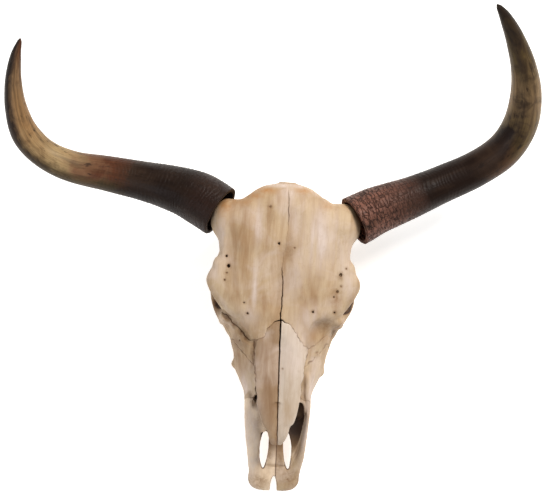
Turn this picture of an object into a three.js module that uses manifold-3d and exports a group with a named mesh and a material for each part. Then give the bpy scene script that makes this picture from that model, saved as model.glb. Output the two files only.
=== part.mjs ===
// A cow skull with both horns, without its lower jaw, lying face up on its cheek teeth and
// jugular processes. The skull is modelled whole, from lofts and chains of rounded forms, and is
// then parted along its sutures with thin saw cuts, so that each bone is a solid of its own.
//
// Skull frame, in millimetres: X to the animal's left, Y towards the poll, Z out of the forehead.
// The poll is at y = 0, the muzzle at y = -LENGTH, and the forehead's plane is z = 0. A station's
// "at" is its distance in front of the poll, so y = -at. The whole skull is then tilted by
// REST_TILT and lifted, so that its teeth and jugular processes stand on the floor.
import * as THREE from "three";
import { mergeVertices } from "three/addons/utils/BufferGeometryUtils.js";
import Module from "manifold-3d";

const LENGTH = 495; // poll to the tips of the premaxillae
const ORBIT_HALF = 120.5; // half the breadth across the orbits' upper rims
const WAIST_HALF = 103; // half the breadth of the forehead between horns and orbits
const PALATE_DEPTH = 131; // forehead to palate at the last molars
const TOOTH_DEPTH = 161; // forehead to the worn face of the last molars
const JUGULAR_DEPTH = 186; // forehead to the tips of the jugular processes
const REST_TILT = 8.1; // degrees by which the forehead slopes down to the muzzle
const FLOOR_DEPTH = 188.7; // skull frame's height above the floor
const CENTRE_SHIFT = { x: 29.3, y: 116.6 }; // brings the middle of the whole outline to the origin
const SAW = 0.35; // width of the cuts between bones
const SIDES = { large: 12, medium: 8, small: 6, horn: 10 };
const FAR = 400; // reaches past the skull on every side

const COLOURS = {
  bone: { color: 0xd9c4a4, roughness: 0.62, metalness: 0 },
  core: { color: 0xd8b78c, roughness: 0.66, metalness: 0 },
  horn: { color: 0x4a2f22, roughness: 0.42, metalness: 0 },
};

const wasm = await Module();
wasm.setup();

// ---------------------------------------------------------------- shapes

// A knot list's value at a place, on a smooth curve through the knots.
function smooth(knots, key, place) {
  const last = knots.length - 1;
  if (place <= knots[0].at) return knots[0][key];
  if (place >= knots[last].at) return knots[last][key];
  const i = knots.findIndex((knot, n) => n < last && place < knots[n + 1].at);
  const slope = (n) => {
    const a = knots[Math.max(n - 1, 0)];
    const b = knots[Math.min(n + 1, last)];
    return (b[key] - a[key]) / (b.at - a.at);
  };
  const span = knots[i + 1].at - knots[i].at;
  const u = (place - knots[i].at) / span;
  const rise = knots[i + 1][key] - knots[i][key];
  const bend = span * (slope(i) * (1 - u) * (1 - u) * u - slope(i + 1) * (1 - u) * u * u);
  return knots[i][key] + rise * u * u * (3 - 2 * u) + bend;
}

// A closed solid over a row of rings that all have the same number of points.
function skin(rings) {
  const count = rings[0].length;
  const corners = rings.flat();
  const middles = [rings[0], rings[rings.length - 1]].map((ring) =>
    ring.reduce((sum, p) => sum.add(p), new THREE.Vector3()).divideScalar(count),
  );
  const faces = [];
  for (let r = 0; r + 1 < rings.length; r++) {
    for (let i = 0; i < count; i++) {
      const next = (i + 1) % count;
      const [a, b] = [r * count + i, r * count + next];
      faces.push(a, b, b + count, a, b + count, a + count);
    }
  }
  const end = (rings.length - 1) * count;
  for (let i = 0; i < count; i++) {
    const next = (i + 1) % count;
    faces.push(next, i, corners.length, end + i, end + next, corners.length + 1);
  }
  const geometry = new THREE.BufferGeometry().setFromPoints([...corners, ...middles]);
  geometry.setIndex(faces);
  return solidOf(geometry);
}

// A three.js geometry as a solid whose faces point out.
function solidOf(geometry) {
  const bare = geometry.clone();
  bare.deleteAttribute("normal");
  bare.deleteAttribute("uv");
  const merged = mergeVertices(bare, 1e-4);
  const vertProperties = Float32Array.from(merged.attributes.position.array);
  const triVerts = Uint32Array.from(merged.index.array);
  const made = new wasm.Manifold(new wasm.Mesh({ numProp: 3, vertProperties, triVerts }));
  if (made.volume() > 0) return made;
  for (let i = 0; i < triVerts.length; i += 3) {
    [triVerts[i + 1], triVerts[i + 2]] = [triVerts[i + 2], triVerts[i + 1]];
  }
  return new wasm.Manifold(new wasm.Mesh({ numProp: 3, vertProperties, triVerts }));
}

function geometryOf(solid) {
  const { vertProperties, triVerts, numProp, numVert } = solid.getMesh();
  const points = new Float32Array(numVert * 3);
  for (let i = 0; i < numVert; i++) {
    points.set(vertProperties.subarray(i * numProp, i * numProp + 3), i * 3);
  }
  const geometry = new THREE.BufferGeometry();
  geometry.setAttribute("position", new THREE.BufferAttribute(points, 3));
  geometry.setIndex(new THREE.BufferAttribute(Uint32Array.from(triVerts), 1));
  const flat = geometry.toNonIndexed();
  flat.computeVertexNormals();
  return flat;
}

const power = (value, exponent) => Math.sign(value) * Math.abs(value) ** exponent;

// A solid along Y. Each station has its half breadth, the heights of its top, widest level and
// base, and how square its upper and lower halves are (2 is an ellipse).
function loft(stations, { steps = 16, sides = SIDES.large } = {}) {
  const first = stations[0].at;
  const last = stations[stations.length - 1].at;
  const rings = [];
  for (let r = 0; r <= steps; r++) {
    const at = first + ((last - first) * (1 - Math.cos((Math.PI * r) / steps))) / 2;
    const get = (key, other = 0) =>
      stations[0][key] === undefined ? other : smooth(stations, key, at);
    const ring = [];
    for (let i = 0; i < sides; i++) {
      const turn = (i / sides) * 2 * Math.PI;
      const upper = Math.sin(turn) >= 0;
      const square = 2 / (upper ? get("up", 2) : get("down", 2));
      const height = upper ? get("top") - get("mid") : get("mid") - get("base");
      const x = get("x") + get("half") * power(Math.cos(turn), square);
      ring.push(new THREE.Vector3(x, -at, get("mid") + height * power(Math.sin(turn), square)));
    }
    rings.push(ring);
  }
  return skin(rings);
}

// A rounded bar through a row of balls: each has a centre x, at, z and radii along X, Y and Z.
function chain(balls, { steps = 0, sides = SIDES.small } = {}) {
  const centres = balls.map((b) => new THREE.Vector3(b.x, -b.at, b.z));
  const path = new THREE.CatmullRomCurve3(centres, false, "centripetal");
  const count = steps || (balls.length - 1) * 2;
  const frames = path.computeFrenetFrames(count, false);
  const outline = (u, turn, along, shrink) => {
    const place = u * (balls.length - 1);
    const i = Math.min(Math.floor(place), balls.length - 2);
    const radii = [0, 1, 2].map((k) => {
      const a = balls[i].r[k];
      return (a + (balls[i + 1].r[k] - a) * (place - i)) * shrink;
    });
    const n = Math.round(u * count);
    const side = frames.normals[n].clone().multiplyScalar(Math.cos(turn));
    side.addScaledVector(frames.binormals[n], Math.sin(turn));
    const reach = new THREE.Vector3(...radii.map((r, k) => r * r * side.getComponent(k)));
    const length = Math.hypot(...radii.map((r, k) => r * side.getComponent(k)));
    reach.divideScalar(length);
    const tangent = frames.tangents[n];
    reach.addScaledVector(tangent, -reach.dot(tangent));
    const cap = Math.hypot(...radii.map((r, k) => r * tangent.getComponent(k))) / shrink;
    return path.getPoint(u).add(reach).addScaledVector(tangent, along * cap);
  };
  const ring = (u, along = 0, shrink = 1) =>
    Array.from({ length: sides }, (_, i) => outline(u, (i / sides) * 2 * Math.PI, along, shrink));
  const rings = [ring(0, -0.8, 0.6)];
  for (let r = 0; r <= count; r++) rings.push(ring(r / count));
  rings.push(ring(1, 0.8, 0.6));
  return skin(rings);
}

function ball({ x, at, z, r }, detail = 9) {
  const geometry = new THREE.SphereGeometry(1, detail, Math.ceil(detail * 0.6));
  geometry.scale(...r).translate(x, -at, z);
  return solidOf(geometry);
}

const mirrored = (balls) => balls.map((b) => ({ ...b, x: -b.x }));
const bothSides = (balls, options) => [chain(balls, options), chain(mirrored(balls), options)];
const join = (solids) => solids.reduce((sum, solid) => sum.add(solid));

// A sheet as thick as a saw cut, standing on a line of [x, at] points seen from above.
function standingCut(line, low, high) {
  const geometry = new THREE.ExtrudeGeometry(stripAround(line), {
    depth: high - low,
    bevelEnabled: false,
  });
  return solidOf(geometry.translate(0, 0, low));
}

// The same, along a line of [at, z] points seen from the side.
function crossCut(line, left, right) {
  const geometry = new THREE.ExtrudeGeometry(stripAround(line), {
    depth: right - left,
    bevelEnabled: false,
  });
  // The strip is drawn with X for y and Y for z, so its depth is turned to run along X.
  const turn = new THREE.Matrix4().makeBasis(
    new THREE.Vector3(0, 1, 0),
    new THREE.Vector3(0, 0, 1),
    new THREE.Vector3(1, 0, 0),
  );
  return solidOf(geometry.applyMatrix4(turn).translate(left, 0, 0));
}

// A level sheet at one height, inside an outline of [x, at] points.
function levelCut(outline, height) {
  const shape = new THREE.Shape(outline.map(([x, at]) => new THREE.Vector2(x, -at)));
  const geometry = new THREE.ExtrudeGeometry(shape, { depth: SAW, bevelEnabled: false });
  return solidOf(geometry.translate(0, 0, height - SAW / 2));
}

function stripAround(line) {
  const flip = line.side === "cross";
  const points = line.points.map(([a, b]) =>
    flip ? new THREE.Vector2(-a, b) : new THREE.Vector2(a, -b),
  );
  const side = points.map((p, i) => {
    const before = points[Math.max(i - 1, 0)];
    const after = points[Math.min(i + 1, points.length - 1)];
    const along = after.clone().sub(before).normalize();
    return new THREE.Vector2(-along.y, along.x).multiplyScalar(SAW / 2);
  });
  const left = points.map((p, i) => p.clone().add(side[i]));
  const right = points.map((p, i) => p.clone().sub(side[i])).reverse();
  return new THREE.Shape([...left, ...right]);
}

const plan = (...points) => ({ side: "plan", points });
const profile = (...points) => ({ side: "cross", points });

// ---------------------------------------------------------------- bones, as forms

// The forehead's plate: both frontals, from the poll's dome to the root of the nose.
function foreheadRoof() {
  return loft(
    [
      { at: -2, half: 13, x: 0, top: -22, mid: -29, base: -37, up: 2.2, down: 2.2 },
      { at: 1.5, half: 31, x: -1.5, top: -15, mid: -28, base: -46, up: 2.2, down: 2.4 },
      { at: 6.5, half: 42, x: -2.5, top: -9, mid: -28, base: -51, up: 2.2, down: 2.4 },
      { at: 13, half: 52, x: -2.5, top: -5, mid: -27, base: -54, up: 2.3, down: 2.4 },
      { at: 24, half: 65.5, x: -2.5, top: -1, mid: -26, base: -57, up: 2.3, down: 2.6 },
      { at: 38, half: 79, x: -1, top: 2, mid: -26, base: -57, up: 2.4, down: 2.6 },
      { at: 60, half: 93, x: 0, top: 3, mid: -26, base: -54, up: 2.5, down: 2.6 },
      { at: 90, half: 103, x: 0, top: 2, mid: -25, base: -48, up: 2.6, down: 2.4 },
      { at: 112, half: WAIST_HALF, x: 0, top: 0, mid: -24, base: -42, up: 2.6, down: 2.4 },
      { at: 130, half: 111, x: 0, top: -1, mid: -23, base: -39, up: 2.6, down: 2.4 },
      { at: 152, half: ORBIT_HALF, x: 0, top: -3, mid: -23, base: -37, up: 2.5, down: 2.4 },
      { at: 170, half: 115, x: 0, top: -4, mid: -24, base: -38, up: 2.4, down: 2.4 },
      { at: 186, half: 105, x: 0, top: -5, mid: -26, base: -42, up: 2.3, down: 2.4 },
      { at: 200, half: 95, x: 0, top: -5, mid: -31, base: -50, up: 2.2, down: 2.4 },
      { at: 215, half: 88, x: 0, top: -6, mid: -44, base: -70, up: 2.0, down: 2.4 },
      { at: 240, half: 74, x: 0, top: -8, mid: -54, base: -80, up: 1.9, down: 2.4 },
    ],
    { steps: 9, sides: 10 },
  );
}

// The swollen shoulders of the forehead from which the horn cores grow.
function hornBosses() {
  return bothSides(
    [
      { x: 56, at: 57, z: -28, r: [16, 31, 26] },
      { x: 91, at: 59, z: -35, r: [27, 34, 32] },
    ],
    { steps: 1 },
  );
}

function brainCase() {
  return loft(
    [
      { at: 14, half: 40, top: -40, mid: -85, base: -126 },
      { at: 30, half: 58, top: -32, mid: -86, base: -140 },
      { at: 62, half: 62, top: -26, mid: -88, base: -144 },
      { at: 100, half: 57, top: -26, mid: -84, base: -134 },
      { at: 130, half: 46, top: -26, mid: -78, base: -118 },
      { at: 162, half: 36, top: -26, mid: -70, base: -102 },
      { at: 205, half: 42, top: -26, mid: -70, base: -100 },
    ],
    { steps: 5, sides: SIDES.large },
  );
}

// The wall of the nape, below the poll.
function nape() {
  return loft(
    [
      { at: 3, half: 24, top: -24, mid: -60, base: -98, up: 2.4, down: 2.2 },
      { at: 9, half: 42, top: -20, mid: -60, base: -112, up: 2.4, down: 2.2 },
      { at: 24, half: 62, top: -20, mid: -62, base: -128, up: 2.4, down: 2.2 },
      { at: 44, half: 67, top: -20, mid: -62, base: -130, up: 2.4, down: 2.2 },
      { at: 66, half: 50, top: -24, mid: -70, base: -120, up: 2.4, down: 2.2 },
    ],
    { steps: 3, sides: 10 },
  );
}

function skullBase() {
  return loft(
    [
      { at: 12, half: 27, top: -112, mid: -132, base: -148, down: 2.6, up: 2 },
      { at: 40, half: 24, top: -112, mid: -132, base: -149, down: 2.6, up: 2 },
      { at: 68, half: 25, top: -112, mid: -134, base: -153, down: 2.6, up: 2 },
      { at: 92, half: 19, top: -108, mid: -126, base: -143, down: 2.4, up: 2 },
      { at: 125, half: 15, top: -100, mid: -116, base: -130, down: 2.2, up: 2 },
      { at: 165, half: 11, top: -90, mid: -102, base: -114, down: 2, up: 2 },
    ],
    { steps: 4, sides: SIDES.small },
  );
}

// Condyles, mastoids, tympanic bullae, jugular processes and the neck-muscle tubercles.
function napeParts() {
  const condyle = [
    { x: 24, at: 19, z: -141, r: [15, 14, 12] },
    { x: 36, at: 17, z: -124, r: [14, 17, 17] },
    { x: 36, at: 20, z: -106, r: [11, 14, 12] },
  ];
  const mastoid = [
    { x: 52, at: 30, z: -100, r: [18, 16, 28] },
    { x: 76, at: 42, z: -102, r: [16, 15, 24] },
    { x: 95, at: 56, z: -104, r: [12, 13, 17] },
  ];
  const jugular = [
    { x: 60, at: 28, z: -118, r: [12, 12, 16] },
    { x: 62, at: 31, z: -150, r: [9, 13, 16] },
    { x: 58, at: 38, z: -JUGULAR_DEPTH + 6, r: [6, 10, 9] },
  ];
  const bulla = { x: 43, at: 64, z: -146, r: [13, 17, 23] };
  const tubercle = { x: 15, at: 66, z: -148, r: [10, 13, 9] };
  return [
    ...bothSides(condyle, { steps: 2, sides: 6 }),
    ...bothSides(mastoid, { steps: 2 }),
    ...bothSides(jugular, { steps: 2 }),
    ...[bulla, tubercle].flatMap((form) => [ball(form, 6), ball({ ...form, x: -form.x }, 6)]),
  ];
}

// The cheek arch, the closed ring of the orbit and the bulge behind the tooth row.
function archAndOrbit() {
  const arch = [
    { x: 60, at: 78, z: -112, r: [16, 17, 14] },
    { x: 81, at: 87, z: -110, r: [13, 15, 12] },
    { x: 95, at: 106, z: -103, r: [8, 14, 12] },
    { x: 108, at: 138, z: -97, r: [6, 12, 10] },
    { x: 112, at: 172, z: -94, r: [6, 12, 11] },
    { x: 103, at: 198, z: -86, r: [7, 12, 12] },
    { x: 80, at: 224, z: -82, r: [12, 16, 18] },
  ];
  const rearBar = [
    { x: 103, at: 128, z: -22, r: [8, 10, 10] },
    { x: 105, at: 125, z: -58, r: [6, 8, 10] },
    { x: 106, at: 134, z: -92, r: [6, 11, 8] },
  ];
  const frontBar = [
    { x: 88, at: 211, z: -38, r: [9, 10, 12] },
    { x: 91, at: 216, z: -60, r: [9, 10, 14] },
    { x: 94, at: 206, z: -84, r: [8, 11, 12] },
  ];
  const tearBulla = { x: 52, at: 192, z: -100, r: [22, 27, 27] };
  return [
    ...bothSides(arch, { steps: 6, sides: 6 }),
    ...bothSides(rearBar, { steps: 2 }),
    ...bothSides(frontBar, { steps: 2 }),
    ball(tearBulla, 6),
    ball({ ...tearBulla, x: -tearBulla.x }, 6),
  ];
}

// The face in front of the orbits, up to the notch beside the nose.
function face() {
  const body = loft(
    [
      { at: 196, half: 70, top: -24, mid: -74, base: -124, up: 2, down: 2.6 },
      { at: 214, half: 82, top: -14, mid: -78, base: -PALATE_DEPTH, up: 1.9, down: 2.6 },
      { at: 232, half: 84.5, top: -9, mid: -82, base: -PALATE_DEPTH, up: 1.8, down: 2.6 },
      { at: 252, half: 81, top: -8, mid: -84, base: -130, up: 1.75, down: 2.6 },
      { at: 272, half: 75.5, top: -8, mid: -86, base: -128, up: 1.75, down: 2.6 },
      { at: 296, half: 71.5, top: -8, mid: -88, base: -124, up: 1.75, down: 2.6 },
      { at: 314, half: 63.5, top: -9, mid: -86, base: -121, up: 1.8, down: 2.6 },
      { at: 332, half: 55.5, top: -10, mid: -84, base: -117, up: 1.9, down: 2.6 },
      { at: 350, half: 53.5, top: -12, mid: -82, base: -113, up: 2, down: 2.8 },
      { at: 378, half: 52, top: -42, mid: -87, base: -108, up: 2, down: 3 },
      { at: 406, half: 48.5, top: -64, mid: -91, base: -103, up: 2, down: 3 },
      { at: 430, half: 44.5, top: -78, mid: -92, base: -101, up: 2, down: 3 },
      { at: 452, half: 40.5, top: -87, mid: -93, base: -98, up: 2, down: 3 },
    ],
    { steps: 7, sides: 10 },
  );
  const tubers = [
    { x: 67.5, at: 297, z: -90, r: [8, 9, 9] },
    { x: -70, at: 290, z: -90, r: [8, 8, 9] },
  ];
  return [body, ...tubers.map((tuber) => ball(tuber, 6))];
}

// The front of the nose's floor, which ends in the two flat lobes of the muzzle.
function muzzleFloor() {
  const flat = { up: 3, down: 2.6 };
  return loft(
    [
      { at: 384, half: 42, top: -92.5, mid: -96, base: -103, ...flat },
      { at: 440, half: 37, top: -90, mid: -93, base: -98, ...flat },
      { at: 472, half: 36, top: -88, mid: -92, base: -97, ...flat },
      { at: 484, half: 31, top: -89, mid: -92, base: -96, ...flat },
      { at: LENGTH - 1, half: 16, top: -91, mid: -93, base: -95, ...flat },
    ],
    { steps: 4, sides: 6 },
  );
}

// One half of the nose's roof: a long plate, arched across, whose tip stands free.
function noseRoof(side) {
  const edge = (at, outer, top, thick) => ({
    at,
    x: (side * outer) / 2,
    half: outer / 2,
    top,
    mid: top - thick * 0.55,
    base: top - thick,
    up: 2.2,
    down: 3,
  });
  return loft(
    [
      edge(236, 37, -7.2, 18),
      edge(262, 39.5, -6.6, 18),
      edge(300, 38.5, -7, 15),
      edge(335, 34.5, -9, 12),
      edge(362, 28.5, -11, 10),
      edge(384, 21, -14, 9),
      edge(398, 14, -17, 8),
      edge(408, 7, -22, 5),
    ],
    { steps: 5, sides: 8 },
  );
}

// The muzzle's side plates differ: the right one leans in towards the nose.
function premaxilla(side) {
  const upright = [
    { x: 47, at: 336, z: -44, r: [4, 12, 9] },
    { x: 47.5, at: 368, z: -58, r: [3.8, 12, 11] },
    { x: 45.5, at: 404, z: -74, r: [4.2, 12, 12] },
    { x: 41, at: 436, z: -85, r: [5.5, 12, 9] },
    { x: 32, at: 464, z: -91, r: [9, 12, 6] },
  ];
  const leaning = [
    { x: 45, at: 340, z: -42, r: [7, 11, 7] },
    { x: 38.5, at: 375, z: -58, r: [12.5, 12, 8] },
    { x: 36, at: 410, z: -74, r: [11.5, 13, 9] },
    { x: 35, at: 440, z: -86, r: [9.5, 12, 8] },
    { x: 30, at: 464, z: -91, r: [10, 12, 6] },
  ];
  const strut = side > 0 ? upright : leaning;
  return chain(strut.map((b) => ({ ...b, x: side * b.x })), { steps: 4 });
}

// Bony walls beside the rear opening of the nose.
function pterygoids() {
  return bothSides([
    { x: 30, at: 212, z: -120, r: [7, 14, 12] },
    { x: 26, at: 188, z: -120, r: [4, 14, 20] },
    { x: 23, at: 160, z: -118, r: [4, 13, 20] },
    { x: 21, at: 140, z: -114, r: [4, 8, 12] },
  ], { steps: 2 });
}

// Six cheek teeth on each side, in a ridge of bone: three premolars in front, then three broad
// molars, as one row of squarish columns that touch at their narrow sides.
function toothRow(side) {
  const ridge = [
    { x: 55, at: 204, z: -114, r: [14, 8, 14] },
    { x: 56, at: 228, z: -116, r: [16.5, 12, 15] },
    { x: 50, at: 286, z: -111, r: [14, 12, 14] },
    { x: 43.5, at: 346, z: -103, r: [9.5, 12, 11] },
    { x: 42, at: 366, z: -101, r: [6, 10, 8] },
  ];
  const rear = { at: 212, x: 57.5, half: 11.5, root: -112, crown: -TOOTH_DEPTH };
  const front = { at: 347, x: 43.5, half: 7, root: -100, crown: -137.5 };
  const rings = [];
  const section = (at, scale, lift) => {
    const mix = (key) => rear[key] + ((front[key] - rear[key]) * (at - rear.at)) / 135;
    const [x, half] = [side * mix("x"), scale * mix("half")];
    const [top, base] = [mix("root"), mix("crown") + lift];
    const corners = [[x - half, top], [x + half, top], [x + half, base], [x - half, base]];
    rings.push(corners.map(([cx, z]) => new THREE.Vector3(cx, -at, z)));
  };
  let at = rear.at;
  for (const length of [29, 28, 25, 19, 18, 16]) {
    section(at + 0.6, 0.78, 2);
    section(at + length * 0.28, 1, 0);
    section(at + length * 0.72, 1, 0);
    at += length;
  }
  section(at, 0.7, 2);
  return join([chain(ridge.map((b) => ({ ...b, x: side * b.x })), { steps: 3 }), skin(rings)]);
}

// The thin upright plate that parts the nose's floor in two.
function vomer(grow) {
  return loft(
    [
      { at: 246 - grow, half: 1.6 + grow, top: -60 + grow, mid: -74, base: -84 - grow },
      { at: 280, half: 1.6 + grow, top: -58 + grow, mid: -76, base: -88 - grow },
      { at: 340, half: 1.6 + grow, top: -64 + grow, mid: -78, base: -90.5 - grow },
      { at: 388 + grow, half: 1.6 + grow, top: -82 + grow, mid: -86, base: -90.5 - grow },
    ],
    { steps: 3, sides: 6 },
  );
}

// ---------------------------------------------------------------- hollows

function hollows() {
  const nose = loft(
    [
      { at: 258, half: 16, top: -40, mid: -62, base: -80 },
      { at: 274, half: 33, top: -28, mid: -62, base: -94 },
      { at: 305, half: 40, top: -21, mid: -62, base: -97 },
      { at: 334, half: 43.5, top: -20, mid: -64, base: -95 },
      { at: 350, half: 44.5, top: 2, mid: -64, base: -94 },
      { at: 380, half: 45, top: 8, mid: -64, base: -93 },
      { at: 406, half: 42.5, top: 8, mid: -64, base: -92.5 },
      { at: 432, half: 36, top: 8, mid: -64, base: -91 },
      { at: 452, half: 27, top: 8, mid: -64, base: -89 },
    ],
    { steps: 4, sides: 8 },
  );
  const palateVault = loft(
    [
      { at: 196, half: 36, top: -120, mid: -135, base: -150 },
      { at: 250, half: 38, top: -117, mid: -134, base: -150 },
      { at: 310, half: 31, top: -108, mid: -126, base: -150 },
      { at: 350, half: 24, top: -104, mid: -122, base: -150 },
      { at: 400, half: 20, top: -100, mid: -116, base: -150 },
    ],
    { steps: 3, sides: SIDES.medium },
  );
  const rearNostrils = loft(
    [
      { at: 150, half: 15, top: -112, mid: -125, base: -150 },
      { at: 190, half: 19, top: -98, mid: -120, base: -150 },
      { at: 214, half: 16, top: -100, mid: -120, base: -150 },
    ],
    { steps: 2, sides: SIDES.small },
  );
  const spinalHole = chain(
    [
      { x: 0, at: -20, z: -122, r: [19, 20, 17] },
      { x: 0, at: 30, z: -118, r: [18, 20, 16] },
      { x: 0, at: 58, z: -108, r: [14, 20, 12] },
    ],
    { steps: 3, sides: SIDES.small },
  );
  const earHole = [
    { x: 92, at: 57, z: -106, r: [5, 4.5, 4.5] },
    { x: 120, at: 57, z: -106, r: [5, 4.5, 4.5] },
  ];
  const besideNose = [
    { x: 41, at: 336, z: -22, r: [3.5, 5, 8] },
    { x: 40, at: 352, z: -26, r: [7, 10, 14] },
    { x: 40, at: 372, z: -26, r: [11, 14, 22] },
  ];
  // Upright holes and a notch in the muzzle's floor.
  const fissures = [
    { x: 20.4, at: 429, z: -94, r: [7, 28, 40] },
    { x: -18, at: 430, z: -94, r: [7.5, 28, 40] },
  ];
  const notch = { x: 0, at: LENGTH + 2, z: -94, r: [5.5, 27, 40] };
  const socket = [
    { x: 128, at: 168, z: -60, r: [33, 33, 31] },
    { x: 96, at: 166, z: -62, r: [30, 32, 28] },
    { x: 62, at: 156, z: -66, r: [22, 24, 22] },
  ];
  return [
    nose,
    palateVault,
    rearNostrils,
    spinalHole,
    ...bothSides(earHole, { steps: 1, sides: 6 }),
    ...bothSides(besideNose, { steps: 3 }),
    ...fissures.map((fissure) => ball(fissure, 7)),
    ball(notch, 7),
    ...bothSides(socket, { sides: 8 }),
  ];
}

// ---------------------------------------------------------------- horns

// Middle line and thickness of each horn, from the mouth of its sheath to the tip.
const LEFT_HORN = [
  { x: 108, at: 52, z: -37, d: 80 },
  { x: 140, at: 34, z: -45, d: 76 },
  { x: 192, at: 11.5, z: -51, d: 67 },
  { x: 244, at: -13.5, z: -52, d: 60 },
  { x: 295, at: -39.5, z: -45, d: 57 },
  { x: 335, at: -70, z: -28, d: 56 },
  { x: 354.5, at: -108, z: -4, d: 54 },
  { x: 355, at: -150, z: 30, d: 47.5 },
  { x: 342.5, at: -187, z: 64, d: 38 },
  { x: 321.5, at: -222, z: 97, d: 28 },
  { x: 301, at: -248, z: 122, d: 17.5 },
  { x: 284.5, at: -263, z: 139, d: 5 },
];
const RIGHT_HORN = [
  { x: -104.5, at: 46, z: -37, d: 83 },
  { x: -138, at: 27, z: -45, d: 83 },
  { x: -174, at: 14.5, z: -50, d: 74 },
  { x: -230, at: 3, z: -53, d: 63 },
  { x: -287, at: -6, z: -50, d: 56 },
  { x: -342, at: -14, z: -42, d: 50 },
  { x: -384, at: -31, z: -29, d: 46.5 },
  { x: -411, at: -58, z: -12, d: 44 },
  { x: -423, at: -95, z: 10, d: 34.5 },
  { x: -424, at: -133, z: 34, d: 25.5 },
  { x: -416.5, at: -168, z: 60, d: 16.5 },
  { x: -406.5, at: -193, z: 78, d: 4.5 },
];
const SHEATH_RECESS = 18; // how far the bony core goes into the sheath's mouth
const SHEATH_WALL = 6.5;
const CORE_GAP = 3; // open ring between the core and the sheath's mouth
const CORE_DROP = 4; // how far the core's root lies in front of the horn's middle line

const pointOf = ({ x, at, z }) => new THREE.Vector3(x, -at, z);

// A round solid along a line of knots that carry its thickness, cut square at the start.
function hornSolid(knots, { steps = 16, sides = SIDES.horn } = {}) {
  const path = new THREE.CatmullRomCurve3(knots.map(pointOf), false, "centripetal");
  const frames = path.computeFrenetFrames(steps, false);
  const rings = [];
  for (let r = 0; r <= steps; r++) {
    const u = r / steps;
    const place = u * (knots.length - 1);
    const i = Math.min(Math.floor(place), knots.length - 2);
    const thick = knots[i].d + (knots[i + 1].d - knots[i].d) * (place - i);
    const radius = thick / 2;
    const middle = path.getPoint(u);
    rings.push(
      Array.from({ length: sides }, (_, k) => {
        const turn = (k / sides) * 2 * Math.PI;
        return middle
          .clone()
          .addScaledVector(frames.normals[r], radius * Math.cos(turn))
          .addScaledVector(frames.binormals[r], radius * Math.sin(turn));
      }),
    );
  }
  return skin(rings);
}

// A straight round plug from inside the forehead to the floor of the sheath's recess.
function hornCore(knots, extra) {
  const mouth = pointOf(knots[0]);
  const outward = pointOf(knots[1]).sub(mouth).normalize();
  const radius = knots[0].d / 2 - SHEATH_WALL - CORE_GAP + extra;
  const place = (distance, d, drop) => {
    const p = mouth.clone().addScaledVector(outward, distance);
    return { x: p.x, at: -p.y + drop, z: p.z, d };
  };
  const line = [
    place(-36, 2 * radius + 8, CORE_DROP + 2),
    place(-10, 2 * radius + 2, CORE_DROP),
    place(SHEATH_RECESS + extra / 10, 2 * radius, 0),
  ];
  return hornSolid(line, { steps: 2, sides: SIDES.horn });
}

function hornSheath(knots) {
  return hornSolid(knots).subtract(hornCore(knots, CORE_GAP));
}

// ---------------------------------------------------------------- sawing into bones

function cuts() {
  const wide = 150;
  const roofLevel = -41;
  const forehead = [
    [-wide, 219], [-95, 217], [-52, 243], [-41, 246], [-29, 240], [0, 211],
    [24, 231], [44, 255], [95, 222], [wide, 219],
  ];
  const coreLine = (side) =>
    plan([side * 66, -20], [side * 78, 20], [side * 90, 76], [side * 98, 91], [side * wide, 97]);
  const roofFloor = levelCut(
    [
      [66, -20], [-66, -20], [-78, 20], [-90, 76], [-98, 91], [-wide, 97], ...forehead,
      [wide, 97], [98, 91], [90, 76], [78, 20],
    ],
    roofLevel,
  );
  const noseEdge = (side) =>
    plan([side * 41.8, side > 0 ? 252.6 : 245.4], [side * 39.6, 290], [side * 34, 352]);
  const noseFloor = levelCut([[-44, 205], [44, 205], [44, 352], [-44, 352]], -30);
  const tearLine = (side) =>
    plan([side * 41.2, 252], [side * 60, 262], [side * 82, 246], [side * wide, 238]);
  const tearFloor = (side) =>
    levelCut(
      [
        [side * 41, 196], [side * 66, 196], [side * 66, 160], [side * wide, 160],
        [side * wide, 270], [side * 41, 270],
      ],
      -66,
    );
  const cheekLine = (side) =>
    plan([side * 88, 117], [side * 66, 150], [side * 68, 200], [side * 74, 212],
      [side * 74, 252], [side * 100, 272]);
  const notchTop = profile([318, 20], [326, -31], [327, -32.35]);
  return [
    standingCut(plan([0, -30], [0, 430]), roofLevel - 1, 40),
    standingCut(plan([0, 192], [0, 520]), -180, roofLevel + 1),
    standingCut(plan(...forehead), roofLevel - 0.1, 40),
    ...[1, -1].flatMap((side) => [
      standingCut(coreLine(side), -78, 40),
      standingCut(noseEdge(side), -31, 40),
      standingCut(tearLine(side), -67, 40),
      tearFloor(side),
      standingCut(plan([side * 41.2, 196], [side * 41.2, 262]), -67, -29),
      standingCut(plan([side * 41.2, 196], [side * wide, 196]), -67, roofLevel),
      standingCut(cheekLine(side), -150, -66),
      standingCut(plan([side * 50, 46], [side * 50, 116], [side * wide, 118]), -121, roofLevel),
      standingCut(plan([side * 29, 46], [side * 29, 117], [side * wide, 118]), -200, -121),
      levelCut([[side * 28, 46], [side * 51, 46], [side * 51, 118], [side * 28, 118]], -121),
      standingCut(plan([side * 32, 192], [side * 41, 196], [side * 38, 236], [0, 240]), -150, -92),
      side > 0 ? crossCut(notchTop, 34, 80) : crossCut(notchTop, -80, -34),
    ]),
    roofFloor,
    noseFloor,
    levelCut([[-42, 190], [42, 190], [42, 242], [-42, 242]], -92),
    standingCut(plan([-wide, 47], [wide, 47]), -200, roofLevel),
    standingCut(plan([-66, 118], [-66, 150], [-34, 162], [-32, 192], [32, 192], [34, 162],
      [66, 150], [66, 118]), -200, roofLevel),
    crossCut(profile([325.84, -30], [326, -31], [352, -66], [380, -86], [402, -130]), -80, 80),
  ];
}

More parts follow.
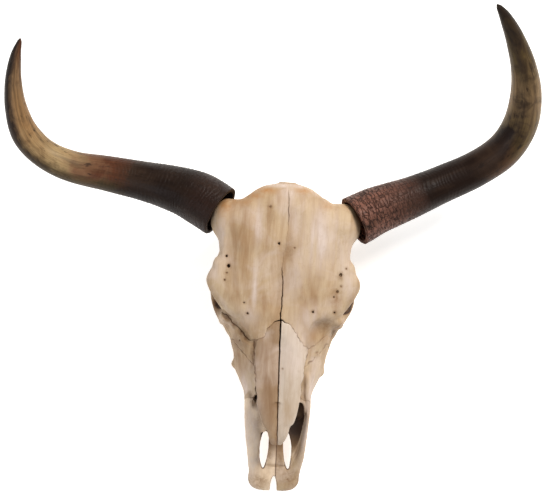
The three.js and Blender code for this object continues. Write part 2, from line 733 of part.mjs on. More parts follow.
const BONES = {
  frontal: { x: 40, at: 120, z: -10 },
  nasal: { x: 18, at: 300, z: -12 },
  lacrimal: { x: 78, at: 232, z: -52 },
  zygomatic: { x: 103, at: 202, z: -86 },
  maxilla: { x: 53, at: 282, z: -122 },
  premaxilla: { x: 20, at: 476, z: -92 },
  palatine: { x: 30, at: 222, z: -112 },
  temporal: { x: 86, at: 86, z: -110 },
};
const MIDDLE_BONES = {
  occipital: { x: 40, at: 24, z: -60 },
  sphenoid: { x: 0, at: 110, z: -60 },
};

// The sawn piece that holds a point.
function pieceAt(pieces, { x, at, z }) {
  const probe = ball({ x, at, z, r: [0.5, 0.5, 0.5] }, 6);
  const found = pieces.find((piece) => piece.intersect(probe).volume() > 0);
  if (!found) throw new Error(`no bone at ${x}, ${at}, ${z}`);
  return found;
}

function bones() {
  const noseHalves = [noseRoof(1), noseRoof(-1)];
  const solid = join([
    foreheadRoof(),
    ...hornBosses(),
    brainCase(),
    nape(),
    skullBase(),
    ...napeParts(),
    ...archAndOrbit(),
    ...face(),
    muzzleFloor(),
    ball({ x: 22, at: 474, z: -92, r: [19.5, 19, 7] }, 8),
    ball({ x: -22, at: 474, z: -92, r: [19.5, 19, 7] }, 8),
    ...pterygoids(),
  ]);
  const hollowed = hollows().reduce((left, hollow) => left.subtract(hollow), solid);
  const cores = [hornCore(LEFT_HORN, 0), hornCore(RIGHT_HORN, 0)];
  const plates = [premaxilla(1), premaxilla(-1)];
  const solids = [hollowed, ...plates, ...noseHalves, toothRow(1), toothRow(-1), ...cores];
  const whole = join(solids).subtract(vomer(SAW));
  const floor = new THREE.BoxGeometry(2 * FAR, 4 * FAR, FAR);
  floor.translate(0, -CENTRE_SHIFT.y, -FAR / 2 - FLOOR_DEPTH);
  floor.rotateX(-THREE.MathUtils.degToRad(REST_TILT));
  const standing = whole.subtract(solidOf(floor));
  return cuts().reduce((left, cut) => left.subtract(cut), standing).decompose();
}

// ---------------------------------------------------------------- assembly

const skull = new THREE.Group();

function add(name, solid, colour) {
  const mesh = new THREE.Mesh(geometryOf(solid), new THREE.MeshStandardMaterial(colour));
  mesh.name = name;
  skull.add(mesh);
}

const pieces = bones();
for (const [name, spot] of Object.entries(BONES)) {
  add(`${name}_left`, pieceAt(pieces, spot), COLOURS.bone);
  add(`${name}_right`, pieceAt(pieces, { ...spot, x: -spot.x }), COLOURS.bone);
}
for (const [name, spot] of Object.entries(MIDDLE_BONES)) {
  add(name, pieceAt(pieces, spot), COLOURS.bone);
}
add("vomer", vomer(0), COLOURS.bone);
const sheaths = { left: LEFT_HORN, right: RIGHT_HORN };
for (const [side, knots] of Object.entries(sheaths)) {
  add(`horn_core_${side}`, pieceAt(pieces, knots[0]), COLOURS.core);
  add(`horn_sheath_${side}`, hornSheath(knots), COLOURS.horn);
}

skull.rotation.x = THREE.MathUtils.degToRad(REST_TILT);
skull.position.set(CENTRE_SHIFT.x, CENTRE_SHIFT.y, FLOOR_DEPTH);

export default skull;
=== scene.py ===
# A cow skull with both horns and no lower jaw, lying face up on its cheek teeth and jugular
# processes. Every bone is a mesh of its own that meets its neighbours in sutures, and the horn
# sheaths are slipped over the bony cores.
#
# Skull frame, in millimetres: x to the animal's left, "at" from the poll towards the muzzle, and
# z out of the forehead. to_row() brings such points to where the skull lies, in metres.
import math

import bpy
import numpy as np
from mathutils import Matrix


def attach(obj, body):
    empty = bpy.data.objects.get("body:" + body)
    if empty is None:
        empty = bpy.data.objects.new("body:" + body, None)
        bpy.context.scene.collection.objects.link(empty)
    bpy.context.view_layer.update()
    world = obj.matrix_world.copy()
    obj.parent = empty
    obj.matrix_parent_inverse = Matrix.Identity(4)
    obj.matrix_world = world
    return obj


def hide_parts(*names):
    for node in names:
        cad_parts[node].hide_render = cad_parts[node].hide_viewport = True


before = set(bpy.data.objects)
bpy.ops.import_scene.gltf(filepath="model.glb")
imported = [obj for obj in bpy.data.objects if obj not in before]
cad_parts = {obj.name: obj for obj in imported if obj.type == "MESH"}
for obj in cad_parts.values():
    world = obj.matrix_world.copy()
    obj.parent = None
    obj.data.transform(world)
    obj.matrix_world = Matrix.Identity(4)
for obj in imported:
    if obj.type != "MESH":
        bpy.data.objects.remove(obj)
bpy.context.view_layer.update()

import openvdb
from mathutils import Matrix, Vector

# ---------------------------------------------------------------- camera
# It looks straight down on the forehead from 1.8 m, a little to the animal's right, and is
# turned so that the muzzle points down in the picture.
REST_TILT = math.radians(8.1)  # the forehead slopes down to the muzzle
SKULL_PLACE = Vector((29.3, 116.6, 188.7))
EYE = Vector((-15.39, -100.62, 1800.0))
CAMERA_TURN = math.radians(2.7)

rest_turn = Matrix.Rotation(REST_TILT, 3, "X")
camera = bpy.data.objects.new("camera", bpy.data.cameras.new("camera"))
camera.data.sensor_width = 36.0
camera.data.lens = 76.16
camera.data.clip_end = 20.0
camera.location = (rest_turn @ EYE + SKULL_PLACE) / 1000
camera.rotation_euler = (rest_turn @ Matrix.Rotation(CAMERA_TURN, 3, "Z")).to_euler()
bpy.context.scene.collection.objects.link(camera)
bpy.context.scene.camera = camera


def to_row(points):
    """Rows of x, at, z in the skull frame, brought to the row frame in metres."""
    turned = np.column_stack([points[:, 0], -points[:, 1], points[:, 2]]) @ np.array(rest_turn).T
    return (turned + np.array(SKULL_PLACE)) / 1000


def linear(code):
    """An sRGB hex colour as linear RGBA."""
    parts = [int(code[i : i + 2], 16) / 255 for i in (1, 3, 5)]
    return (*(c / 12.92 if c <= 0.04045 else ((c + 0.055) / 1.055) ** 2.4 for c in parts), 1.0)


def add(tree, kind, inputs=(), **settings):
    """A node with its settings. Its inputs are given values, or linked to sockets or nodes."""
    made = tree.nodes.new(kind)
    for name, value in settings.items():
        setattr(made, name, value)
    for socket, value in dict(inputs).items():
        if isinstance(value, bpy.types.Node):
            value = next(output for output in value.outputs if output.enabled)
        if isinstance(value, bpy.types.NodeSocket):
            tree.links.new(value, made.inputs[socket])
        else:
            made.inputs[socket].default_value = value
    return made


def blank_material(name):
    made = bpy.data.materials.new(name)
    made.use_nodes = True
    made.node_tree.nodes.clear()
    return made, made.node_tree


# ---------------------------------------------------------------- floor and light
# A light table under the skull, whose white sheet glows a little and swallows most
# shadows, with a soft light above the left horn and a weaker one beside the muzzle.
floor_half = 4.0
floor_mesh = bpy.data.meshes.new("floor")
floor_mesh.from_pydata(
    [(x * floor_half, y * floor_half, 0) for x, y in ((-1, -1), (1, -1), (1, 1), (-1, 1))],
    [],
    [(0, 1, 2, 3)],
)
floor = bpy.data.objects.new("floor", floor_mesh)
bpy.context.scene.collection.objects.link(floor)

paper, tree = blank_material("matte_paper")
sheet = add(tree, "ShaderNodeBsdfPrincipled", {
    "Base Color": linear("#F4F3F0"),
    "Roughness": 0.9,
    "Emission Color": linear("#FFFFFF"),
    "Emission Strength": 0.6,
})
add(tree, "ShaderNodeOutputMaterial", {"Surface": sheet})
floor_mesh.materials.append(paper)


def soft_light(name, place, size, power, colour):
    lamp = bpy.data.lights.new(name, "AREA")
    lamp.shape = "DISK"
    lamp.size = size
    lamp.energy = power
    lamp.color = linear(colour)[:3]
    holder = bpy.data.objects.new(name, lamp)
    holder.location = place
    holder.rotation_euler = (-Vector(place)).to_track_quat("-Z", "Y").to_euler()
    bpy.context.scene.collection.objects.link(holder)


soft_light("key_light", (1.1, 1.2, 2.2), 1.0, 64, "#FFFAF4")
soft_light("fill_light", (-1.3, -1.4, 2.0), 1.8, 21, "#F2F6FF")

world = bpy.data.worlds.new("studio")
world.use_nodes = True
world.node_tree.nodes["Background"].inputs["Color"].default_value = linear("#FBFAF8")
world.node_tree.nodes["Background"].inputs["Strength"].default_value = 0.36
bpy.context.scene.world = world
bpy.context.scene.view_settings.view_transform = "Standard"

# ---------------------------------------------------------------- the whole skull, unparted
# A skull is many thin bones grown together. They are shaped here as one form: a box of points
# that each hold their distance to the bone's surface, below zero inside the bone.
GRAIN = 1.15
BOX_LOW = np.array([-142.0, -14.0, -192.0])
BOX_HIGH = np.array([142.0, 500.0, 14.0])
FAR_OFF = 50.0
MARGIN = 16.0

box_size = np.ceil((BOX_HIGH - BOX_LOW) / GRAIN).astype(int)
axes = [(BOX_LOW[k] + GRAIN * np.arange(box_size[k])).astype(np.float32) for k in range(3)]
skull = np.full(box_size, FAR_OFF, np.float32)


def window(low, high):
    """The part of the box between two corners: its slices, and its x, at and z."""
    first = np.clip(np.floor((np.array(low) - BOX_LOW) / GRAIN), 0, box_size).astype(int)
    last = np.clip(np.ceil((np.array(high) - BOX_LOW) / GRAIN) + 1, 0, box_size).astype(int)
    part = tuple(slice(a, b) for a, b in zip(first, last))
    return (
        part,
        axes[0][part[0], None, None],
        axes[1][None, part[1], None],
        axes[2][None, None, part[2]],
    )


def smooth(places, values, wanted):
    """A smooth curve through values at their places, read at the wanted places."""
    places, values = np.asarray(places, float), np.asarray(values, float)
    knots = np.arange(len(places))
    before, after = np.maximum(knots - 1, 0), np.minimum(knots + 1, len(places) - 1)
    slopes = (values[after] - values[before]) / (places[after] - places[before])
    wanted = np.clip(wanted, places[0], places[-1])
    i = np.clip(np.searchsorted(places, wanted, side="right") - 1, 0, len(places) - 2)
    span = places[i + 1] - places[i]
    u = (wanted - places[i]) / span
    rise = values[i + 1] - values[i]
    bend = span * (slopes[i] * (1 - u) ** 2 * u - slopes[i + 1] * (1 - u) * u * u)
    return (values[i] + rise * u * u * (3 - 2 * u) + bend).astype(np.float32)


def melt(a, b, width):
    """The smaller of two distances, with the corner between them filled over a width."""
    overlap = np.maximum(width - np.abs(a - b), 0) / width
    return np.minimum(a, b) - overlap * overlap * (width / 4)


def put(part, form, width, carve):
    """Joins a form to the skull, or cuts it away, with a rounded edge."""
    skull[part] = -melt(-skull[part], form, width) if carve else melt(skull[part], form, width)


def loft_distance(rows):
    """A form along "at" through rows of at, x, half, top, mid, base, and how square it is above
    and below (2 is an ellipse)."""
    table = np.array([row if len(row) == 8 else (*row, 2, 2) for row in rows], float)
    low = [(table[:, 1] - table[:, 2]).min(), table[0, 0], table[:, 5].min()]
    high = [(table[:, 1] + table[:, 2]).max(), table[-1, 0], table[:, 3].max()]
    part, x, at, z = window(np.array(low) - MARGIN, np.array(high) + MARGIN)
    centre, half, top, mid, base, up, down = (
        smooth(table[:, 0], table[:, k], at[0, :, 0])[None, :, None] for k in range(1, 8)
    )
    above = z > mid
    height = np.where(above, top - mid, mid - base)
    square = np.where(above, up, down)
    across = np.abs(x - centre) / half + 1e-4
    tall = np.abs(z - mid) / height + 1e-4
    gauge = (across**square + tall**square) ** (1 / square)
    steep = np.hypot((across / gauge) ** (square - 1) / half, (tall / gauge) ** (square - 1) / height)
    form = (gauge - 1) / steep
    return part, np.maximum(form, np.maximum(table[0, 0] - at, at - table[-1, 0]))


def loft(rows, width=6.0, carve=False):
    put(*loft_distance(rows), width, carve)


lining = np.full(box_size, FAR_OFF, np.float32)


def hollow_out(part, form, width):
    """Cuts away a deep hollow and remembers where its lining is."""
    put(part, form, width, True)
    lining[part] = np.minimum(lining[part], form)


def chain_distance(balls, side=1):
    """A rounded bar through balls of x, at, z and radii along x, at and z."""
    table = np.array(balls, float)
    table[:, 0] *= side
    low = (table[:, :3] - table[:, 3:]).min(0) - MARGIN
    high = (table[:, :3] + table[:, 3:]).max(0) + MARGIN
    part, x, at, z = window(low, high)
    knots = np.arange(len(table))
    length = np.linalg.norm(np.diff(table[:, :3], axis=0), axis=1).sum()
    count = max(2, int(length / (0.3 * table[:, 3:].min())) + 1) if len(table) > 1 else 1
    places = np.linspace(0, len(table) - 1, count)
    columns = [
        smooth(knots, table[:, k], places) if len(table) > 1 else table[:, k] for k in range(6)
    ]
    form = np.full(skull[part].shape, FAR_OFF, np.float32)
    for cx, ca, cz, rx, ra, rz in zip(*columns):
        px, pa, pz = (x - cx) / rx, (at - ca) / ra, (z - cz) / rz
        near = np.sqrt(px * px + pa * pa + pz * pz) + 1e-4
        far = np.sqrt((px / rx) ** 2 + (pa / ra) ** 2 + (pz / rz) ** 2) + 1e-6
        form = np.minimum(form, near * (near - 1) / far)
    return part, form


def chain(balls, width=6.0, carve=False, sides=(1, -1)):
    for side in sides:
        put(*chain_distance(balls, side), width, carve)


# The brain case, its base and the wall of the nape.
loft(
    [
        (14, 0, 40, -40, -85, -126), (30, 0, 58, -32, -86, -140), (62, 0, 62, -26, -88, -144),
        (100, 0, 57, -26, -84, -134), (130, 0, 46, -26, -78, -118), (162, 0, 36, -26, -70, -102),
        (205, 0, 42, -26, -70, -100),
    ],
)
loft(
    [
        (3, 0, 24, -24, -60, -98, 2.4, 2.2), (9, 0, 42, -20, -60, -112, 2.4, 2.2),
        (24, 0, 62, -20, -62, -128, 2.4, 2.2), (44, 0, 67, -20, -62, -130, 2.4, 2.2),
        (66, 0, 50, -24, -70, -120, 2.4, 2.2),
    ],
    width=12,
)
loft(
    [
        (12, 0, 27, -112, -132, -148, 2, 2.6), (40, 0, 24, -112, -132, -149, 2, 2.6),
        (68, 0, 25, -112, -134, -153, 2, 2.6), (92, 0, 19, -108, -126, -143, 2, 2.4),
        (125, 0, 15, -100, -116, -130, 2, 2.2), (165, 0, 11, -90, -102, -114, 2, 2),
    ],
    width=8,
)
# The forehead's plate from the poll's dome to the root of the nose.
loft(
    [
        (-2, 0, 12, -22, -29, -37, 2.2, 2.2), (1.5, -1.5, 30.5, -15, -28, -46, 2.2, 2.4),
        (6.5, -2.5, 42, -9, -28, -51, 2.2, 2.4), (13, -2.5, 52, -5, -27, -54, 2.3, 2.4),
        (24, -2.5, 65.5, -1, -26, -57, 2.3, 2.6), (38, -1, 79, 2, -26, -57, 2.4, 2.6),
        (60, 0, 93, 3, -26, -54, 2.5, 2.6), (90, 0, 103, 2, -25, -48, 2.6, 2.4),
        (112, 0, 103, 0, -24, -42, 2.6, 2.4), (130, 0, 111, -1, -23, -39, 2.6, 2.4),
        (152, 0, 120.5, -3, -23, -37, 2.5, 2.4), (170, 0, 115, -4, -24, -38, 2.4, 2.4),
        (186, 0, 105, -5, -26, -42, 2.3, 2.4), (200, 0, 95, -5, -31, -50, 2.2, 2.4),
        (215, 0, 88, -6, -44, -70, 2.0, 2.4), (240, 0, 74, -8, -54, -80, 1.9, 2.4),
        (262, 0, 62, -22, -60, -84, 1.9, 2.4),
    ],
    width=14,
)
chain([(56, 57, -28, 16, 31, 26), (91, 59, -35, 27, 34, 32)], width=10)
# The cheek arch and the ring of the orbit.
chain(
    [
        (60, 78, -112, 16, 17, 14), (81, 87, -110, 13, 15, 12), (95, 106, -103, 8, 14, 12),
        (108, 138, -97, 6, 12, 10), (112, 172, -94, 6, 12, 11), (103, 198, -86, 7, 12, 12),
        (80, 224, -82, 12, 16, 18),
    ],
    width=8,
)
chain([(103, 128, -22, 8, 10, 10), (105, 125, -58, 6, 8, 10), (106, 134, -92, 6, 11, 8)])
chain([(88, 211, -38, 9, 10, 12), (91, 216, -60, 9, 10, 14), (94, 206, -84, 8, 11, 12)])
chain([(52, 192, -100, 22, 27, 27)])
# The face, up to the notch beside the nose, and the bump on each cheek.
loft(
    [
        (196, 0, 70, -24, -74, -124, 2, 2.6), (214, 0, 82, -14, -78, -131, 1.9, 2.6),
        (232, 0, 84.5, -9, -82, -131, 1.8, 2.6), (252, 0, 81, -8, -84, -130, 1.75, 2.6),
        (272, 0, 75.5, -8, -86, -128, 1.75, 2.6), (296, 0, 71.5, -8, -88, -124, 1.75, 2.6),
        (314, 0, 63.5, -9, -86, -121, 1.8, 2.6), (332, 0, 55.5, -10, -84, -117, 1.9, 2.6),
        (350, 0, 53.5, -12, -82, -113, 2, 2.8), (378, 0, 52, -42, -87, -108, 2, 3),
        (406, 0, 48.5, -64, -91, -103, 2, 3), (430, 0, 44.5, -78, -92, -101, 2, 3),
        (452, 0, 40.5, -87, -93, -98, 2, 3),
    ],
    width=10,
)
chain([(70.5, 290, -90, 7, 7, 8)], 5, sides=(-1,))
chain([(67.5, 297, -90, 7, 8, 8)], 5, sides=(1,))
# Parts of the nape: condyles, mastoids, jugular processes, bullae and tubercles.
chain([(24, 19, -141, 15, 14, 12), (36, 17, -124, 14, 17, 17), (36, 22, -106, 11, 14, 12)], 5)
chain([(52, 30, -100, 18, 16, 28), (76, 42, -102, 16, 15, 24), (95, 56, -104, 12, 13, 17)], 10)
chain([(60, 28, -118, 12, 12, 16), (62, 31, -150, 9, 13, 16), (58, 38, -180, 6, 10, 9)], 7)
chain([(43, 64, -146, 13, 17, 23)], 4)
chain([(15, 66, -148, 10, 13, 9)], 6)
# The muzzle's floor with its two flat lobes, and the bony walls behind the palate.
loft(
    [
        (384, 0, 42, -92.5, -96, -103, 3, 2.6), (440, 0, 37, -90, -93, -98, 3, 2.6),
        (472, 0, 36, -88, -92, -97, 3, 2.6), (484, 0, 31, -89, -92, -96, 3, 2.6),
        (494, 0, 16, -91, -93, -95, 3, 2.6),
    ],
    width=3,
)
chain([(30, 212, -120, 7, 14, 12), (26, 188, -120, 4, 14, 20), (23, 160, -118, 4, 13, 20),
       (21, 140, -114, 4, 8, 12)])
chain([(22, 474, -92, 19.5, 19, 7)], 4)
# The ridges that hold the cheek teeth.
chain([(55, 204, -114, 14, 8, 14), (56, 228, -116, 16.5, 12, 15), (50, 286, -111, 14, 12, 14),
       (43.5, 346, -103, 9.5, 12, 11), (42, 366, -101, 6, 10, 8)], 7)

# Hollows: nose, palate, rear nostrils, spinal hole, ear, orbit, and holes in the muzzle's floor.
nose = loft_distance(
    [
        (258, 0, 16, -40, -62, -80), (274, 0, 33, -28, -62, -94), (305, 0, 40, -21, -62, -97),
        (334, 0, 43.5, -20, -64, -95), (350, 0, 44.5, 2, -64, -94), (380, 0, 45, 8, -64, -93),
        (406, 0, 42.5, 8, -64, -92.5), (432, 0, 36, 8, -64, -91), (452, 0, 27, 8, -64, -89),
    ]
)
hollow_out(*nose, 4)
loft(
    [
        (196, 0, 36, -120, -135, -150), (250, 0, 38, -117, -134, -150),
        (310, 0, 31, -108, -126, -150), (350, 0, 24, -104, -122, -150),
        (400, 0, 20, -100, -116, -150),
    ],
    width=6, carve=True,
)
loft(
    [(150, 0, 15, -112, -125, -150), (190, 0, 19, -98, -120, -150), (214, 0, 16, -100, -120, -150)],
    width=4, carve=True,
)
hollow_out(*chain_distance([(0, -20, -122, 19, 20, 17), (0, 30, -118, 18, 20, 16),
                            (0, 58, -108, 14, 20, 12)]), 3)
chain([(92, 57, -106, 5, 4.5, 4.5), (120, 57, -106, 5, 4.5, 4.5)], 3, True)
chain([(41, 336, -22, 3.5, 5, 8), (40, 352, -26, 7, 10, 14), (40, 372, -26, 11, 14, 22)], 3, True)
chain([(17, 410, -94, 6, 12, 40), (18.5, 430, -94, 7.3, 20, 40), (18.5, 448, -94, 3, 10, 40)], 2,
      True, (-1,))
chain([(18, 410, -94, 5.5, 12, 40), (20.4, 430, -94, 6.6, 20, 40), (22, 448, -94, 3, 10, 40)], 2,
      True, (1,))
chain([(0, 497, -94, 5.5, 27, 40)], 2, True, (1,))
for side in (1, -1):
    hollow_out(*chain_distance([(128, 168, -60, 33, 33, 31), (96, 166, -62, 30, 32, 28),
                                (62, 156, -66, 22, 24, 22)], side), 6)
    hollow_out(*chain_distance([(120, 184, -57, 22, 22, 28), (104, 183, -62, 17, 20, 24)],
                               side), 4)

# The muzzle's side plates differ: the left one stands upright beside the open nose, and the
# right one is broad and leans in until it meets the nose's roof.
hollowed = skull.copy()
chain([(44, 304, -35, 6, 12, 8), (45.5, 326, -41, 5.5, 12, 9), (48.2, 345, -49, 4, 12, 9),
       (49, 368, -58, 3.2, 12, 11), (46, 404, -74, 3.8, 12, 12), (41, 436, -85, 5.5, 12, 9),
       (32, 464, -91, 9, 12, 6)], 4, sides=(1,))
chain([(45, 340, -42, 7, 11, 7), (40, 362, -52, 12, 12, 7), (37, 388, -63, 13, 13, 8),
       (36, 414, -76, 11.5, 13, 9), (35, 440, -86, 9.5, 12, 8), (30, 464, -91, 10, 12, 6)],
      4, sides=(-1,))
chain([(31, 352, -45, 10, 10, 5), (26, 374, -58, 10, 11, 5), (21.5, 388, -68, 7.5, 8, 5)],
      4, sides=(-1,))
chain([(34.5, 338, -22, 3.2, 7, 20)], 2, True, (-1,))

# The nose's roof: two long plates, each arched across, whose thin tips stand free and are chipped.
# A row holds the distance from the poll, the top and the thickness, and the edges are each
# plate's breadth at those rows.
NOSE_ROOF = [(222, -14, 12), (240, -7.2, 18), (262, -6.6, 18), (300, -7, 15), (335, -9, 12),
             (362, -11, 10), (373, -12, 9.5), (378, -13, 9), (388, -14.5, 9), (398, -17, 8),
             (408, -22, 5)]
NOSE_EDGES = {1: (31, 37, 39.5, 38.5, 34.5, 29.5, 26, 21.5, 19, 15.5, 9),
              -1: (31, 37, 39.5, 38.5, 34.5, 26.5, 22.5, 20, 14, 11, 7)}
for side, edges in NOSE_EDGES.items():
    loft(
        [
            (at, side * edge / 2, edge / 2, top, top - 0.55 * thick, top - thick, 2.2, 3)
            for edge, (at, top, thick) in zip(edges, NOSE_ROOF)
        ],
        width=3,
    )
lining[skull < hollowed - 0.3] = FAR_OFF

# ---------------------------------------------------------------- age and wear of the bone
# Dry bone is never quite even: it swells and sinks a little, small vessels leave pits in it, and
# the nerve's outlets above the orbits leave a row of larger holes in a shallow groove.
WAVES = 14
dice = np.random.default_rng(7)


def unevenness(x, at, z, length, depth):
    """Soft swellings of about this length, as a sum of waves."""
    total = np.zeros(np.broadcast_shapes(x.shape, at.shape, z.shape), np.float32)
    for _ in range(WAVES):
        turn = dice.normal(size=3)
        turn *= 2 * math.pi / length / np.linalg.norm(turn) * dice.uniform(0.7, 1.4)
        shift = dice.uniform(0, 2 * math.pi, 3)
        total += (
            np.sin(turn[0] * x + shift[0])
            * np.sin(turn[1] * at + shift[1])
            * np.sin(turn[2] * z + shift[2])
        ).astype(np.float32)
    return total * (depth / math.sqrt(WAVES) * 2)


everywhere = (axes[0][:, None, None], axes[1][None, :, None], axes[2][None, None, :])
skull += unevenness(*everywhere, 60, 0.55) + unevenness(*everywhere, 17, 0.16)
# The tips that it stands on are worn level.
below_floor = math.sin(REST_TILT) * everywhere[1] - math.cos(REST_TILT) * everywhere[2]
below_floor = (below_floor - SKULL_PLACE.z + 0.3).astype(np.float32)
np.maximum(skull, below_floor, out=skull)


def top_of(x, at):
    """The height of the skull's upper surface at a place, seen from above."""
    i, j = (int(round((v - BOX_LOW[k]) / GRAIN)) for k, v in enumerate((x, at)))
    inside = np.nonzero(skull[i, j] < 0)[0]
    return axes[2][inside[-1]] if len(inside) else -90.0


# Shallow forms pressed into the upper surface: x, at, half breadth, half length, depth.
HOLLOWS = [
    (84, 128, 9, 46, 1.6), (-86, 124, 9, 44, 1.6),  # grooves above the orbits
    (66, 232, 13, 17, 2.6), (-72, 226, 7, 12, 2.4), (-60, 240, 6, 10, 2.0),  # before the orbits
    (0, 300, 4, 60, 1.4), (0, 60, 22, 26, 0.8), (2, 168, 16, 36, 1.0),
]
for x0, at0, half, long, depth in HOLLOWS:
    z0 = top_of(x0, at0)
    chain([(x0, at0, z0 + 14, half * 1.6, long * 1.3, 14 + depth)], 8, True, (1,))
# The furrow where the forehead meets the right tear bone.
furrow = [(-92, 205), (-80, 216), (-66, 229), (-57, 239), (-50, 246), (-42, 250)]
chain([(x, at, top_of(x, at) + 2.6, 4.5, 4.5, 4.5) for x, at in furrow], 6, True, (1,))
# Holes: x, at, radius, depth.
PITS = [
    (-90, 115.8, 1.5, 3), (-86.2, 131, 2.3, 6), (-88.8, 142, 1.3, 2), (-91.3, 153, 1.2, 2),
    (96.9, 127, 1.1, 1.5), (88.8, 137, 2.2, 2.5), (89.7, 155, 1.3, 1.5), (84.6, 163.5, 2.0, 2.5),
    (79.6, 172, 1.3, 2), (82, 196, 1.3, 3), (-9.5, 92.6, 1.5, 5), (-53.3, 203.5, 1.4, 4),
    (-59.6, 187, 1.0, 2), (48.2, 196.4, 1.5, 4), (14.8, 98.4, 1.0, 2), (-25.4, 36.5, 1.6, 1),
    (5, 287, 0.7, 0.5), (58, 262, 1.0, 1), (-64, 248, 1.2, 2), (22.5, 473, 0.8, 1),
]
for x0, at0, radius, depth in PITS:
    chain([(x0, at0, top_of(x0, at0), radius, radius * 1.15, depth)], 1, True, (1,))

# ---------------------------------------------------------------- parting into bones
# The bones meet in sutures, seen from above as wandering lines. A bone is what lies inside its
# outline and between two levels, and has not been taken by a bone before it.
plan_x, plan_at = np.meshgrid(axes[0], axes[1], indexing="ij")
midline = smooth([9, 62, 130, 155, 180, 211, 341, 405], [2, 3.6, -3.3, -0.4, -0.8, -1.2, 0.4, 2.2],
                 plan_at)
wander = unevenness(plan_x, plan_at, np.zeros(1), 8, 0.7).reshape(plan_x.shape)
wander_2 = unevenness(plan_x, plan_at, np.zeros(1), 21, 0.9).reshape(plan_x.shape)
straight = 1 - 0.8 * np.exp(-((plan_x / 10) ** 2)) * np.clip((plan_at - 170) / 60, 0.4, 1)
suture_x = plan_x - midline * np.exp(-((plan_x / 25) ** 2)) + (wander + wander_2) * straight
suture_at = plan_at + np.roll(wander, 40, 1) + np.roll(wander_2, 40, 1)


def inside(outline, first=None, second=None):
    """Distance to a closed outline of points in two directions, below zero inside it."""
    first = suture_x if first is None else first
    second = suture_at if second is None else second
    away = np.full(first.shape, 1e9)
    sign = np.ones(first.shape)
    for (x0, y0), (x1, y1) in zip(outline, outline[1:] + outline[:1]):
        ex, ey = x1 - x0, y1 - y0
        wx, wy = first - x0, second - y0
        u = np.clip((wx * ex + wy * ey) / (ex * ex + ey * ey), 0, 1)
        away = np.minimum(away, (wx - ex * u) ** 2 + (wy - ey * u) ** 2)
        crosses = ((second >= y0) != (second >= y1)) & (
            wx < (second - y0) / (ey if ey else 1e-9) * ex
        )
        sign = np.where(crosses, -sign, sign)
    return (np.sqrt(away) * sign).astype(np.float32)


def near_line(line, reach):
    """One on a line of x, at points, falling to nothing over a reach."""
    away = np.full(plan_x.shape, 1e9)
    for (x0, y0), (x1, y1) in zip(line, line[1:]):
        ex, ey = x1 - x0, y1 - y0
        u = np.clip(((plan_x - x0) * ex + (plan_at - y0) * ey) / (ex * ex + ey * ey), 0, 1)
        away = np.minimum(away, (plan_x - x0 - ex * u) ** 2 + (plan_at - y0 - ey * u) ** 2)
    return np.exp(-away / reach**2)


WIDE = 160
CORE_LINES = {1: [(66, -20), (78, 20), (90, 76), (98, 91), (WIDE, 97)],
              -1: [(-66, -20), (-78, 20), (-90, 76), (-98, 91), (-WIDE, 97)]}

# How far the bones on either side draw back from a suture, and how brown its line is. The middle
# one has opened with age from the forehead down, and has closed between the orbits' level and
# the poll. The joint of a horn's core with the forehead has closed without a trace.
places = [0, 10, 20, 55, 72, 122, 136, 180, 205, 222, 300, 350, 408, 430]
openings = [-0.4, -0.3, -0.05, -0.1, -0.4, -0.4, 0.15, 0.45, 0.9, 1.1, 0.75, 0.45, 0.2, 0.2]
browns = [0, 0.1, 0.6, 0.7, 0, 0, 0.8, 1, 1, 1, 1, 1, 0.9, 0.8]
near_middle = np.exp(-(((plan_x - midline) / 9) ** 2))
gap = -0.2 + (smooth(places, openings, plan_at) + 0.2) * near_middle
seen = 0.42 + unevenness(plan_x, plan_at, np.zeros(1), 13, 0.42).reshape(plan_x.shape)
seen += (smooth(places, browns, plan_at) - seen) * near_middle
for line in CORE_LINES.values():
    closed = np.minimum(1, 1.6 * near_line(line, 9))
    gap -= (gap + 4.0) * closed
    seen *= 1 - closed
for line, reach, opening in (
    ([(-34.6, 322), (-33, 338)], 5, 0.7),
    ([(-92, 204), (-66, 229), (-52, 243)], 6, 0.1),
):
    gap += (opening + 0.2) * near_line(line, reach)
    seen += 0.4 * near_line(line, reach)
gap, seen = gap.astype(np.float32), np.clip(seen, 0, 1)

FOREHEAD_FRONT = [
    (-WIDE, 176), (-110, 190), (-96, 201), (-66, 229), (-50, 245.5), (-41.2, 246), (-29, 240.5),
    (-20, 227.6), (-10, 214.7), (0, 211), (15, 218), (23.4, 230), (35, 248), (43.5, 256),
    (52, 250), (68, 236), (95, 214), (112, 196), (WIDE, 180),
]
UP, DOWN = 30, -220


def mirror(outline):
    return [(-x, at) for x, at in outline]


def half(side, first, last):
    """The half of the skull on one side of the midline."""
    return [(0, first), (side * WIDE, first), (side * WIDE, last), (0, last)]


NASAL_OUTLINE = {
    1: [(0, 211), (15, 218), (23.4, 230), (35, 248), (43.5, 256), (39.9, 280), (36.7, 311),
        (36.3, 336), (34, 352), (34, 430), (0, 430)],
    -1: [(0, 211), (-10, 214.7), (-20, 227.6), (-29, 240.5), (-41.2, 246), (-38, 284),
         (-34.6, 323), (-32.5, 335), (-34, 352), (-34, 430), (0, 430)],
}
TEAR_OUTLINE = [(41, 196), (WIDE, 196), (WIDE, 236), (76, 249), (54.6, 271), (39.9, 285),
                (41.2, 256)]
CHEEK_OUTLINE = [(88, 117), (66, 150), (68, 200), (74, 212), (74, 252), (100, 272), (WIDE, 272),
                 (WIDE, 117)]
PALATINE_OUTLINE = [(32, 192), (41, 196), (38, 236), (0, 240), (0, 192)]
TEMPORAL_UPPER = [(50, 47), (50, 118), (WIDE, 118), (WIDE, 47)]
TEMPORAL_LOWER = [(29, 47), (29, 118), (WIDE, 118), (WIDE, 47)]
SPHENOID_OUTLINE = [(-WIDE, 47), (WIDE, 47), (WIDE, 118), (66, 118), (66, 150), (34, 162),
                    (32, 192), (-32, 192), (-34, 162), (-66, 150), (-66, 118), (-WIDE, 118)]
